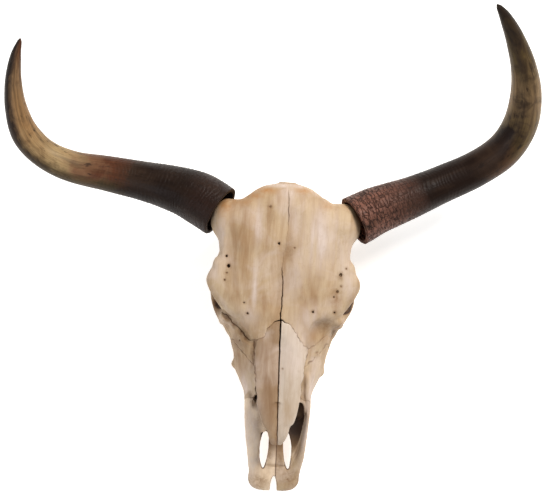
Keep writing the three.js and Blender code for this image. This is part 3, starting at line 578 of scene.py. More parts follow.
MUZZLE_PROFILE = [(328, 20), (335, -31), (356, -66), (380, -86), (402, -130), (402, -230),
                  (520, -230), (520, 20)]
profile_at, profile_z = np.meshgrid(axes[1], axes[2], indexing="ij")


def prism(outline, low, high):
    flat = inside(outline)[:, :, None]
    z = axes[2][None, None, :]
    return np.maximum(flat, np.maximum(low - z, z - high))


def muzzle(side):
    along = inside(MUZZLE_PROFILE, profile_at, profile_z)[None, :, :]
    return np.maximum(along, inside(half(side, 290, 520))[:, :, None])


def read(field, points):
    """A field of the box at points between its own, in straight steps."""
    place = (points - BOX_LOW) / GRAIN
    first = np.clip(np.floor(place).astype(int), 0, np.array(field.shape) - 2)
    u = np.clip(place - first, 0, 1)
    total = 0
    for corner in np.ndindex(2, 2, 2):
        weight = np.prod(np.where(corner, u, 1 - u), axis=1)
        i, j, k = (first + corner).T
        total = total + weight * field[i, j, k]
    return total


def read_plan(field, points):
    """A field seen from above, at the nearest of its points."""
    i = np.clip(np.round((points[:, 0] - BOX_LOW[0]) / GRAIN).astype(int), 0, field.shape[0] - 1)
    j = np.clip(np.round((points[:, 1] - BOX_LOW[1]) / GRAIN).astype(int), 0, field.shape[1] - 1)
    return field[i, j]


def surface_of(field):
    """The closed surface where a field is zero: its points in the skull frame, and its faces."""
    near = np.argwhere(field < GRAIN)
    low, high = np.maximum(near.min(0) - 2, 0), near.max(0) + 3
    part = field[low[0] : high[0], low[1] : high[1], low[2] : high[2]]
    part = np.pad(np.clip(part, -3 * GRAIN, 3 * GRAIN), 1, constant_values=3 * GRAIN)
    grid = openvdb.FloatGrid(3 * GRAIN)
    grid.copyFromArray(np.ascontiguousarray(part))
    points, quads = grid.convertToQuads(isovalue=0.0)
    points, quads = np.asarray(points, float), np.asarray(quads, int)
    return main_parts(BOX_LOW + (points + low - 1) * GRAIN, quads)


def main_parts(points, quads, least=400):
    """Drops crumbs: whatever isn't joined to at least this many points."""
    label = np.arange(len(points))
    pairs = np.concatenate([quads[:, [0, 1]], quads[:, [1, 2]], quads[:, [2, 3]]])
    while True:
        low = np.minimum(label[pairs[:, 0]], label[pairs[:, 1]])
        new = label.copy()
        np.minimum.at(new, pairs[:, 0], low)
        np.minimum.at(new, pairs[:, 1], low)
        new = new[new]
        if (new == label).all():
            break
        label = new
    size = np.bincount(label, minlength=len(points))
    keep = size[label] >= least
    order = np.cumsum(keep) - 1
    return points[keep], order[quads[keep[quads[:, 0]]]]


# Stains, each a place seen from above with its half breadth, half length and strength: orange
# where skin and grease dried longest, brown soil round the holes, with painted shade on the orbits'
# rims and partly along the furrow, tan where the bone is bare of its skin, and pinkish white where
# that has stayed.
ORANGE = [
    (-98, 34, 13, 16, 0.9), (116, 46, 10, 24, 0.7), (-72, 28, 26, 8, 0.7), (-34, 11, 18, 6, 0.9),
    (-50, 19, 14, 7, 0.8), (24, 9, 14, 5, 0.8), (64, 30, 10, 8, 0.5), (94, 30, 14, 6, 0.5),
    (-52, 60, 14, 50, 0.2), (84, 176, 8, 16, 0.35), (76, 238, 14, 10, 0.35),
]
SOIL_AND_SHADE = [
    (-25.4, 36.5, 5.5, 3.2, 0.8), (-26, 50, 9, 26, 0.3), (6, 100, 9, 22, 0.5), (8, 112, 6, 9, 0.5),
    (-5, 160, 6, 40, 0.3), (84, 168, 8, 16, 0.6), (88, 140, 5, 7, 0.6), (-89, 146, 5, 18, 0.4),
    (70, 216, 16, 14, 0.75), (84, 222, 12, 12, 0.6), (-78, 222, 10, 14, 0.4),
    # Partly brown soil and partly painted shade: the spots along the furrow by the right tear bone.
    (-62, 236, 6, 6, 0.9), (-54, 244, 6, 6, 1.1), (-74, 224, 6, 7, 0.9), (-84, 214, 6, 7, 0.8),
    (-66, 252, 16, 16, 0.8), (-44, 262, 4, 14, 0.5), (-70, 276, 10, 12, 0.5),
    (26, 472, 18, 20, 0.7), (-24, 480, 20, 14, 0.8), (-28, 372, 7, 26, 0.5),
    (9, 432, 8, 38, 0.7), (-9, 434, 8, 36, 0.6), (40, 424, 9, 30, 0.4),
    # Painted shade: these two darken the rims of the orbits where shade falls.
    (-108, 200, 9, 17, 1.4), (108, 190, 9, 18, 0.6),
] + [(x, at, 1.5 * r + 1, 1.7 * r + 1, 0.85) for x, at, r, _ in PITS]
TAN = [
    (-68, 100, 18, 70, 0.8), (-26, 60, 10, 50, 0.6), (38, 172, 24, 40, 0.75), (-20, 190, 18, 40, 0.6),
    (0, 112, 20, 60, 0.5), (-16, 330, 12, 70, 1.0), (14, 350, 7, 60, 0.8),
    (-60, 280, 24, 50, 1.0), (60, 232, 20, 20, 0.7), (-24, 270, 14, 40, 0.7),
    (8, 70, 8, 50, 0.5), (-58, 310, 12, 30, 0.4), (0, 20, 60, 14, 0.4),
]
PALE = [
    (56, 84, 30, 44, 0.9), (92, 110, 16, 40, 0.7), (26, 250, 16, 50, 0.8), (-43, 60, 6, 34, 0.7),
    (-12, 2, 34, 4, 0.9), (20, 3, 20, 4, 0.8), (-44, 160, 4, 40, 0.9), (-99, 84, 9, 30, 0.7),
    (44, 206, 16, 20, 0.7), (5, 14, 12, 12, 0.9),
    (20, 134, 12, 40, 0.5), (-52, 206, 16, 16, 0.5), (56, 318, 12, 40, 0.9), (-38, 400, 14, 70, 1),
    (100, 150, 12, 26, 0.6), (46, 420, 8, 60, 0.9), (16, 60, 10, 30, 0.6), (-50, 318, 12, 26, 0.8),
]


def stain(points, spots):
    total = np.zeros(len(points))
    for x, at, half_x, half_at, strength in spots:
        away = ((points[:, 0] - x) / half_x) ** 2 + ((points[:, 1] - at) / half_at) ** 2
        total = np.maximum(total, strength * np.exp(-away))
    return total * (points[:, 2] > -112)


# Painted shade: the linings of the nose, the orbits and the spinal hole are darkened where shade
# falls in them.
LINING_SHADE_DEPTH = 1.8  # the painted shade on a hollow's lining thins out over about this depth
LINING_SHADE_ENDS, LINING_SHADE_FADES = 392, 52  # it thins out from here towards the muzzle, over this length
ROOF_TOP, ROOF_FADES = -20, 6  # there is none above this level
CREST_HALF, CREST_BASE = 12, -60  # nor on the middle strip of this half breadth, above its base
SEAM_REACH = 1.1


def bone_mesh(name, field, edge, material):
    """A bone's mesh, with what its material needs at every point: how deep it lies in a dent or a
    great hollow, which it paints as shade, how near a suture, and its stains."""
    points, quads = surface_of(field)
    steps = np.eye(3) * GRAIN
    normals = np.column_stack([read(skull, points + s) - read(skull, points - s) for s in steps])
    normals /= np.linalg.norm(normals, axis=1, keepdims=True) + 1e-9
    # Painted shade: how far a point is sunk in a dent or crease, which the material darkens as shade.
    hollow = sum(
        np.clip((reach - read(skull, points + normals * reach)) / reach, 0, 1.2) * weight
        for reach, weight in ((3.0, 0.9), (8.0, 0.7), (15.0, 0.6))
    )
    seam = np.exp(-((read(edge, points) / SEAM_REACH) ** 2)) * read_plan(seen, points)
    # Painted shade: nearness to the lining of a deep hollow, which the material darkens towards near
    # black.
    from_lining = read(lining, points)
    deep = np.clip(1.1 - np.abs(from_lining) / LINING_SHADE_DEPTH, 0, 1)
    deep *= read(lining, points + normals) < from_lining
    deep *= 1 - np.clip((points[:, 1] - LINING_SHADE_ENDS) / LINING_SHADE_FADES, 0, 1)
    deep *= np.clip((ROOF_TOP - points[:, 2]) / ROOF_FADES, 0, 1)
    deep *= (np.abs(points[:, 0]) > CREST_HALF) | (points[:, 2] < CREST_BASE)
    mesh = bpy.data.meshes.new(name)
    mesh.from_pydata(to_row(points).tolist(), [], quads.tolist())
    mesh.validate()
    values = {"hollow": hollow, "seam": seam, "deep": deep, "orange": stain(points, ORANGE),
              "soil_and_shade": stain(points, SOIL_AND_SHADE), "tan": stain(points, TAN), "pale": stain(points, PALE)}
    for key, value in values.items():
        mesh.attributes.new(key, "FLOAT", "POINT").data.foreach_set("value", value.astype("f"))
    mesh.shade_smooth()
    mesh.materials.append(material)
    made = bpy.data.objects.new(name, mesh)
    bpy.context.scene.collection.objects.link(made)
    if signed_volume(mesh) < 0:
        mesh.flip_normals()
    return made


def signed_volume(mesh):
    mesh.calc_loop_triangles()
    corners = np.empty(len(mesh.vertices) * 3)
    mesh.vertices.foreach_get("co", corners)
    corners = corners.reshape(-1, 3)
    faces = np.empty(len(mesh.loop_triangles) * 3, int)
    mesh.loop_triangles.foreach_get("vertices", faces)
    a, b, c = (corners[faces.reshape(-1, 3)[:, k]] for k in range(3))
    return np.einsum("ij,ij->i", a, np.cross(b, c)).sum()


# ---------------------------------------------------------------- dry bone
# Cow bone, boiled and then dried in the sun. It is matt and chalky, cream with tan streaks along
# the skull and pinkish-white patches, and brown wherever soil and grease have stayed. Dents,
# creases and the linings of deep hollows are painted darker as shade.
BONE_CREAM, BONE_TAN, BONE_PINK = "#C2A988", "#9A7650", "#D6C4B8"
BONE_ORANGE, BONE_SOIL_AND_SHADE, BONE_PAINTED_SHADE, BONE_SEAM = "#B07E4C", "#80603F", "#2E1A0F", "#5A3820"
MATH, RANGE, MIX = "ShaderNodeMath", "ShaderNodeMapRange", "ShaderNodeMix"
NOISE, PLACED, READ = "ShaderNodeTexNoise", "ShaderNodeMapping", "ShaderNodeAttribute"


def dry_bone(name, light=BONE_CREAM, tan=BONE_TAN):
    material, tree = blank_material(name)
    place = add(tree, "ShaderNodeTexCoord").outputs["Object"]
    # Streaks follow the grain of the bone: about 14 mm across and 120 mm long, and fine ones of
    # 3 mm. Patches are about 50 mm across, mottles 8 mm and pores 2 mm.
    streak = add(tree, NOISE, {0: add(tree, PLACED, {0: place, 3: (70, 8, 40)}), 2: 1.0, 3: 4,
                               4: 0.6, 8: 0.5})
    grain = add(tree, NOISE, {0: add(tree, PLACED, {0: place, 3: (320, 26, 200)}), 2: 1.0, 3: 3})
    patch = add(tree, NOISE, {0: place, 2: 21.0, 3: 3, 4: 0.55, 8: 0.6})
    mottle = add(tree, NOISE, {0: place, 2: 130.0, 3: 4, 4: 0.7, 8: 0.8})
    pore = add(tree, NOISE, {0: place, 2: 620.0, 3: 2, 4: 0.6})
    hollow, seam, deep, orange, soil_and_shade, dusk, pale = (
        add(tree, READ, attribute_name=key)
        for key in ("hollow", "seam", "deep", "orange", "soil_and_shade", "tan", "pale")
    )
    broken = add(tree, RANGE, {0: mottle, 1: 0.3, 2: 0.62, 3: 0.45, 4: 1.15})
    run = add(tree, RANGE, {0: streak, 1: 0.34, 2: 0.66, 3: 0.3, 4: 1.25})
    orange, soil_and_shade, dusk, pale = (
        add(tree, MATH, {0: field, 1: factor}, operation="MULTIPLY")
        for field, factor in ((orange, broken), (soil_and_shade, broken), (dusk, run), (pale, run))
    )
    # Each layer: what it follows, where it starts and is full, how strong it gets, its colour.
    colour = linear(light)
    for field, start, full, most, tint in (
        (streak, 0.42, 0.66, 0.6, tan),
        (patch, 0.48, 0.72, 0.6, BONE_PINK),
        (dusk, 0.0, 1.0, 1.0, tan),
        (pale, 0.0, 1.0, 0.95, BONE_PINK),
        (grain, 0.48, 0.75, 0.25, tan),
        (mottle, 0.55, 0.80, 0.3, tan),
        (orange, 0.05, 1.0, 0.9, BONE_ORANGE),
        (soil_and_shade, 0.05, 1.0, 0.95, BONE_SOIL_AND_SHADE),
        # Painted shade: the next four layers darken dents, creases and the linings of deep hollows.
        (hollow, 0.40, 1.20, 0.8, BONE_SOIL_AND_SHADE),
        (deep, 0.0, 0.5, 0.85, BONE_SOIL_AND_SHADE),
        (deep, 0.3, 0.9, 0.9, BONE_PAINTED_SHADE),
        (hollow, 0.90, 1.80, 0.9, BONE_PAINTED_SHADE),
        (seam, 0.15, 1.0, 0.75, BONE_SEAM),
    ):
        cover = add(tree, RANGE, {0: field, 1: start, 2: full, 4: most})
        colour = add(tree, MIX, {0: cover, 6: colour, 7: linear(tint)}, data_type="RGBA")

    height = add(tree, MATH, {0: pore, 1: 0.35, 2: grain}, operation="MULTIPLY_ADD")
    bump = add(tree, "ShaderNodeBump", {"Strength": 0.55, "Distance": 0.0006, "Height": height})
    surface = add(tree, "ShaderNodeBsdfPrincipled", {
        "Base Color": colour,
        "Roughness": add(tree, RANGE, {0: patch, 1: 0.3, 2: 0.7, 3: 0.52, 4: 0.7}),
        "Normal": bump,
        "IOR": 1.54,
        "Specular IOR Level": 0.35,
    })
    add(tree, "ShaderNodeOutputMaterial", {"Surface": surface})
    return material


bone = dry_bone("sun_dried_bone")
# Painted light and shade: the left nasal's paler copy and the right nasal's darker copy stand partly
# for light falling on one slope of the nose's roof and not the other.
bone_brown_and_shaded = dry_bone("sun_dried_bone_browned_and_shaded", "#A98E70", "#8A6A4B")
bone_pale_and_lit = dry_bone("sun_dried_bone_bleached_and_lit", "#D2C2B0", "#AD9478")
# Painted light: a lighter copy of the bone for the right premaxilla, whose plate lies in shade under
# the nasals.
bone_muzzle_painted_lit = dry_bone("sun_dried_bone_painted_lit", "#EAD3B6", "#CBAA84")

# ---------------------------------------------------------------- the bones
# Each bone is cut from the skull with a hair's breadth of suture round it. The core of a horn is
# an outgrowth of the forehead's bone, so there each runs on a little way under the other.
# Known fault: from 118 to 150 no bone is cut out between PLATE_BASE and CHEEK_TOP, so the bar
# behind each orbit is broken there. The zygomatics should reach up to PLATE_BASE in that stretch.
PLATE_BASE = -41  # the forehead's bones end here and those of the braincase begin
CHEEK_TOP, CHEEK_BASE = -66, -150
TEMPLE_BASE, PALATE_TOP, CORE_BASE, NASAL_BASE = -121, -92, -78, -30
CLOSED_GAP = -0.05  # below the plate no suture gapes
SINK = 0.25  # how steeply a bone runs on under its neighbour
taken = np.full(skull.shape, FAR_OFF, np.float32)
drawn_back = np.where(
    axes[2] > PLATE_BASE, gap[:, :, None], np.minimum(gap, CLOSED_GAP)[:, :, None]
)


def cut_out(name, region, material):
    """Cuts a bone out of the skull and gives it its place in the frame."""
    edge = np.maximum(region, -taken)
    field = np.maximum(skull + SINK * np.clip(edge, 0, 4), edge + drawn_back)
    made = bone_mesh(name + "_bone", field, edge, material)
    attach(made, "root")
    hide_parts(name)
    np.minimum(taken, region, out=taken)
    return made


def horn_core_region(side):
    line = CORE_LINES[side]
    outline = line + [(side * WIDE, -20)]
    return np.maximum(prism(outline, CORE_BASE, UP), -taken)


SIDES = {"left": 1, "right": -1}
for name, side in SIDES.items():
    region = horn_core_region(side)
    cut_out(f"horn_core_{name}", region, bone)
    # The nasals' two copies of the bone hold painted light on the left slope and painted shade on the
    # right.
    cut_out(f"nasal_{name}", prism(NASAL_OUTLINE[side], NASAL_BASE, UP),
            bone_pale_and_lit if side > 0 else bone_brown_and_shaded)
for name, side in SIDES.items():
    plate = [point for point in FOREHEAD_FRONT if point[0] * side >= 0]
    plate = plate if side > 0 else plate[::-1]
    outline = [(0, -40)] + plate + [(side * WIDE, -40)]
    cut_out(f"frontal_{name}", prism(outline, PLATE_BASE, UP), bone)
for name, side in SIDES.items():
    turn = (lambda outline: outline) if side > 0 else mirror
    cut_out(f"lacrimal_{name}", prism(turn(TEAR_OUTLINE), CHEEK_TOP, UP), bone)
    cut_out(f"zygomatic_{name}", prism(turn(CHEEK_OUTLINE), CHEEK_BASE, CHEEK_TOP), bone)
    # The right premaxilla's lighter bone is painted light on a plate that lies in shade.
    cut_out(f"premaxilla_{name}", muzzle(side), bone if side > 0 else bone_muzzle_painted_lit)
    palatine = prism(turn(PALATINE_OUTLINE), CHEEK_BASE, PALATE_TOP)
    cut_out(f"palatine_{name}", palatine, bone)
    temple = np.minimum(
        prism(turn(TEMPORAL_UPPER), TEMPLE_BASE, PLATE_BASE),
        prism(turn(TEMPORAL_LOWER), DOWN, TEMPLE_BASE),
    )
    cut_out(f"temporal_{name}", temple, bone)
nape = prism([(-WIDE, -40), (WIDE, -40), (WIDE, 47), (-WIDE, 47)], DOWN, PLATE_BASE)
cut_out("occipital", nape, bone)
cut_out("sphenoid", prism(SPHENOID_OUTLINE, DOWN, PLATE_BASE), bone)
for name, side in SIDES.items():
    cut_out(f"maxilla_{name}", prism(half(side, 150, 520), DOWN, UP), bone)

# ---------------------------------------------------------------- vomer
# The thin upright plate of bone that parts the nose's floor in two.
part, form = loft_distance(
    [(246, 0, 1.6, -60, -74, -84), (280, 0, 1.6, -58, -76, -88), (340, 0, 1.6, -64, -78, -90.5),
     (388, 0, 1.6, -82, -86, -90.5)]
)
plate = np.full(skull.shape, FAR_OFF, np.float32)
plate[part] = form
vomer = bone_mesh("vomer_bone", plate, plate, bone)
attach(vomer, "root")
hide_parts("vomer")

# ---------------------------------------------------------------- cheek teeth
# Three premolars and three molars on each side, tall columns of enamel round dentine that are
# wedged in the jaw's ridge. A molar is two lobes. Chewing has ground them all to one slope.
CHEEK_TEETH = [(29, 2), (28, 2), (25, 2), (19, 1), (18, 1), (16, 1)]  # length and lobes
FIRST_AT, LAST_AT = 212.0, 347.0

enamel, tree = blank_material("worn_enamel")
place = add(tree, "ShaderNodeTexCoord").outputs["Object"]
run = add(tree, NOISE, {0: add(tree, PLACED, {0: place, 3: (300, 300, 30)}), 2: 1.0, 3: 4})
depth = add(tree, READ, attribute_name="depth")
colour = linear("#D8C9AC")
for field, start, full, most, tint in (
    (run, 0.42, 0.66, 0.8, "#A98B5E"),  # tartar in runs down the crown
    (depth, 0.35, 0.0, 0.85, "#5C3F26"),  # dark against the gum's old edge
    (depth, 0.93, 1.0, 0.6, "#8A6B45"),  # dentine in the worn face
):
    cover = add(tree, RANGE, {0: field, 1: start, 2: full, 4: most})
    colour = add(tree, MIX, {0: cover, 6: colour, 7: linear(tint)}, data_type="RGBA")
gloss = add(tree, "ShaderNodeBsdfPrincipled", {"Base Color": colour, "Roughness": 0.32, "IOR": 1.6})
add(tree, "ShaderNodeOutputMaterial", {"Surface": gloss})


def tooth_row(side):
    """Distance to the crowns on one side."""
    row = np.full(skull.shape, FAR_OFF, np.float32)
    start = FIRST_AT
    for length, lobes in CHEEK_TEETH:
        for lobe in range(lobes):
            centre = start + length * (lobe + 0.5) / lobes
            long = 0.5 * length / lobes + (0.8 if lobes > 1 else 0) - 0.35
            share = (centre - FIRST_AT) / (LAST_AT - FIRST_AT)
            middle, half = side * (57.5 - 14 * share), 11.2 - 4.4 * share
            part, x, at, z = window((middle - 20, centre - 20, -175), (middle + 20, centre + 20, -90))
            across, along = np.abs(x - middle) / half, np.abs(at - centre) / long
            column = ((across**2.6 + along**2.6) ** (1 / 2.6) - 1) * min(half, long)
            pillar = np.cos((at - centre) / long * 1.5 * math.pi) * np.clip(across, 0, 1) * 0.7
            worn = -161 + 23.5 * share + 1.4 * np.cos(3 * math.pi * across)
            ends = np.maximum(worn - z, z + 116 - 14 * share)
            form = -melt(-(column - pillar), -ends, 2.5)
            row[part] = np.minimum(row[part], form)
        start += length
    return np.maximum(row, below_floor)


for name, side in SIDES.items():
    row = tooth_row(side)
    teeth = bone_mesh(f"cheek_teeth_{name}", row, row, enamel)
    heights = np.empty(len(teeth.data.vertices) * 3)
    teeth.data.vertices.foreach_get("co", heights)
    bare = np.clip(1 - (heights[2::3] - 0.001) / 0.034, 0, 1)
    teeth.data.attributes.new("depth", "FLOAT", "POINT").data.foreach_set("value", bare.astype("f"))
    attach(teeth, "root")
    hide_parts(f"maxilla_{name}")

# ---------------------------------------------------------------- horn sheaths
# Keratin grown ring by ring over the bony cores: hollow at the mouth, solid at the tip. The old
# growth at the root is dark, ridged and crazed. Further out it is smooth and scraped paler.
LEFT_HORN = [  # x, at, z and thickness of the middle line
    (108, 52, -37, 80), (140, 34, -45, 76), (192, 11.5, -51, 67), (244, -13.5, -52, 60),
    (295, -39.5, -45, 57), (335, -70, -28, 56), (354.5, -108, -4, 54), (355, -150, 30, 47.5),
    (342.5, -187, 64, 38), (321.5, -222, 97, 28), (301, -248, 122, 17.5), (284.5, -263, 139, 5),
]
RIGHT_HORN = [
    (-104.5, 46, -37, 83), (-138, 27, -45, 83), (-174, 14.5, -50, 74), (-230, 3, -53, 63),
    (-287, -6, -50, 56), (-342, -14, -42, 50), (-384, -31, -29, 46.5), (-411, -58, -12, 44),
    (-423, -95, 10, 34.5), (-424, -133, 34, 25.5), (-416.5, -168, 60, 16.5),
    (-406.5, -193, 78, 4.5),
]
ARROW = "ShaderNodeVectorMath"
LINE_POINTS = 160
SHEATH_SIZES = {
    "Rows": 460, "Columns": 121, "Recess": 0.018, "Wall": 0.0065, "Ring spacing": 0.0062,
    "Ring height": 0.0004, "Mouth unevenness": 0.005, "Lumps": 0.0016,
}


def horn_tree(name, material):
    """Wraps a skin round the middle line: up the recess's floor and wall, over the mouth's rim
    and along the outside to the tip."""
    tree = bpy.data.node_groups.new(name, "GeometryNodeTree")
    socket = tree.interface.new_socket
    socket("Geometry", in_out="INPUT", socket_type="NodeSocketGeometry")
    for key, value in SHEATH_SIZES.items():
        kind = "NodeSocketInt" if isinstance(value, int) else "NodeSocketFloat"
        socket(key, in_out="INPUT", socket_type=kind)
    socket("Geometry", in_out="OUTPUT", socket_type="NodeSocketGeometry")
    given = add(tree, "NodeGroupInput").outputs
    line = add(tree, "GeometryNodeMeshToCurve", {0: given["Geometry"]})
    length = add(tree, "GeometryNodeCurveLength", {0: line})
    grid = add(tree, "GeometryNodeMeshGrid", {0: 1, 1: 1, 2: given["Rows"], 3: given["Columns"]})
    corner = add(tree, "ShaderNodeSeparateXYZ", {0: add(tree, "GeometryNodeInputPosition")})
    u = add(tree, MATH, {0: corner.outputs[0], 1: 0.5}, operation="ADD")
    angle = add(tree, MATH, {0: corner.outputs[1], 1: 2 * math.pi}, operation="MULTIPLY")
    # The skin's rows run over the recess's floor, its wall, the mouth's rim and the outside.
    floor_part, wall_part, rim_part, outside = (
        add(tree, RANGE, {0: u, 1: low, 2: high, 3: first, 4: last})
        for low, high, first, last in (
            (0, 0.02, 0, 1), (0.02, 0.05, 1, 0), (0.05, 0.062, 0, 1), (0.062, 1, 0, 1),
        )
    )
    along = add(tree, MATH, {0: wall_part, 1: given["Recess"]}, operation="MULTIPLY")
    along = add(tree, MATH, {0: outside, 1: length, 2: along}, operation="MULTIPLY_ADD")
    thick = add(tree, "GeometryNodeInputNamedAttribute", {"Name": "thick"}, data_type="FLOAT")
    sample = add(tree, "GeometryNodeSampleCurve", {"Curves": line, "Value": thick,
                                                   "Length": along}, mode="LENGTH").outputs
    third = add(tree, ARROW, {0: sample["Tangent"], 1: sample["Normal"]}, operation="CROSS_PRODUCT")
    cosine, sine = (add(tree, MATH, {0: angle}, operation=kind) for kind in ("COSINE", "SINE"))
    out = add(tree, ARROW, {0: third, 3: sine}, operation="SCALE")
    turned = add(tree, ARROW, {0: sample["Normal"], 3: cosine}, operation="SCALE")
    out = add(tree, ARROW, {0: turned, 1: out}, operation="ADD")
    wrap_y, wrap_z = (
        add(tree, MATH, {0: part, 1: 0.032}, operation="MULTIPLY") for part in (cosine, sine)
    )
    wrap = add(tree, "ShaderNodeCombineXYZ", {0: along, 1: wrap_y, 2: wrap_z})
    # The rings wander and differ in height, are strongest at the root, and fade outwards.
    waves = add(tree, MATH, {0: add(tree, NOISE, {0: wrap, 2: 26, 3: 3}), 1: 0.034, 2: along},
                operation="MULTIPLY_ADD")
    turns = add(tree, MATH, {0: waves, 1: given["Ring spacing"]}, operation="DIVIDE")
    turns = add(tree, MATH, {0: turns, 1: 2 * math.pi}, operation="MULTIPLY")
    ridge = add(tree, MATH, {0: turns}, operation="SINE")
    fade = add(tree, RANGE, {0: along, 2: 0.26, 3: 1, 4: 0.05})
    uneven = add(tree, RANGE, {0: add(tree, NOISE, {0: wrap, 2: 34}), 1: 0.3, 2: 0.7, 3: 0.15,
                               4: 1.4})
    for factor in (uneven, fade):
        ridge = add(tree, MATH, {0: ridge, 1: factor}, operation="MULTIPLY")
    lumps = add(tree, MATH, {0: add(tree, NOISE, {0: wrap, 2: 16, 3: 3}), 1: 0.5},
                operation="SUBTRACT")
    lumps = add(tree, MATH, {0: lumps, 1: given["Lumps"]}, operation="MULTIPLY")
    relief = add(tree, MATH, {0: ridge, 1: given["Ring height"], 2: lumps},
                 operation="MULTIPLY_ADD")
    # Half the thickness, less the wall inside the recess, and closed at the floor and the tip.
    inner = add(tree, MATH, {0: 1, 1: rim_part}, operation="SUBTRACT")
    inner = add(tree, MATH, {0: inner, 1: given["Wall"]}, operation="MULTIPLY")
    radius = add(tree, MATH, {0: sample["Value"], 1: 2}, operation="DIVIDE")
    radius = add(tree, MATH, {0: radius, 1: inner}, operation="SUBTRACT")
    radius = add(tree, MATH, {0: relief, 1: rim_part, 2: radius}, operation="MULTIPLY_ADD")
    tip = add(tree, RANGE, {0: outside, 1: 0.988, 2: 1, 3: 1, 4: 0})
    tip = add(tree, MATH, {0: tip}, operation="SQRT")
    for factor in (floor_part, tip):
        radius = add(tree, MATH, {0: radius, 1: factor}, operation="MULTIPLY")
    # The mouth's edge is ragged.
    shift = add(tree, MATH, {0: add(tree, NOISE, {0: out, 2: 1.3, 3: 3}), 1: 0.5},
                operation="SUBTRACT")
    shift = add(tree, MATH, {0: shift, 1: given["Mouth unevenness"]}, operation="MULTIPLY")
    near_mouth = add(tree, RANGE, {0: along, 2: 0.02, 3: 1, 4: 0})
    shift = add(tree, MATH, {0: shift, 1: near_mouth}, operation="MULTIPLY")
    place = sample["Position"]
    for direction, distance in ((out, radius), (sample["Tangent"], shift)):
        step = add(tree, ARROW, {0: direction, 3: distance}, operation="SCALE")
        place = add(tree, ARROW, {0: place, 1: step}, operation="ADD")
    skin = grid.outputs[0]
    for key, kind, value in (("along", "FLOAT", along), ("ridge", "FLOAT", ridge),
                             ("wrap", "FLOAT_VECTOR", wrap), ("facing", "FLOAT_VECTOR", out)):
        skin = add(tree, "GeometryNodeStoreNamedAttribute",
                   {"Geometry": skin, "Name": key, "Value": value}, data_type=kind, domain="POINT")
    skin = add(tree, "GeometryNodeSetPosition", {0: skin, 2: place})
    skin = add(tree, "GeometryNodeMergeByDistance", {0: skin, "Distance": 0.00002})
    skin = add(tree, "GeometryNodeSetShadeSmooth", {0: skin})
    skin = add(tree, "GeometryNodeRealizeInstances", {0: skin})
    skin = add(tree, "GeometryNodeSetMaterial", {0: skin, "Material": material})
    add(tree, "NodeGroupOutput", {0: skin})
    return tree


def horn_sheath(name, knots, material):
    """The plain mesh that the tree makes round a horn's middle line."""
    table = np.array(knots, float)
    chord = np.r_[0, np.cumsum(np.linalg.norm(np.diff(table[:, :3], axis=0), axis=1))]
    places = np.linspace(0, chord[-1], LINE_POINTS)
    columns = np.column_stack([smooth(chord, table[:, k], places) for k in range(4)])
    mesh = bpy.data.meshes.new(name)
    count = len(places)
    mesh.from_pydata(to_row(columns[:, :3]).tolist(), [(i, i + 1) for i in range(count - 1)], [])
    mesh.attributes.new("thick", "FLOAT", "POINT").data.foreach_set("value", columns[:, 3] / 1000)
    line = bpy.data.objects.new(name + "_line", mesh)
    bpy.context.scene.collection.objects.link(line)
    tree = horn_tree(name + "_growth", material)
    modifier = line.modifiers.new("growth", "NODES")
    modifier.node_group = tree
    for item in tree.interface.items_tree:
        if item.name in SHEATH_SIZES:
            modifier[item.identifier] = SHEATH_SIZES[item.name]
    evaluated = line.evaluated_get(bpy.context.evaluated_depsgraph_get())
    grown = bpy.data.meshes.new_from_object(evaluated)
    grown.name = name + "_keratin"
    bpy.data.objects.remove(line)
    if signed_volume(grown) < 0:
        grown.flip_normals()
    made = bpy.data.objects.new(name + "_keratin", grown)
    bpy.context.scene.collection.objects.link(made)
    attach(made, "root")
    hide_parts(name)
    return made


# Aged horn: near black brown, with red-brown scales at the root between dark cracks, olive and
# tan where it is scraped, long fibres along it, and a dull polish.
HORN_DARK, HORN_RED, HORN_OLIVE = "#1C100A", "#55301D", "#57472A"
HORN_BROWN, HORN_TAN, HORN_PALE, HORN_TIP = "#5E422C", "#92704A", "#A98F66", "#231A14"
CRACK, FIBRE, HORN_SHADE = "#100906", "#1B110B", "#33241A"


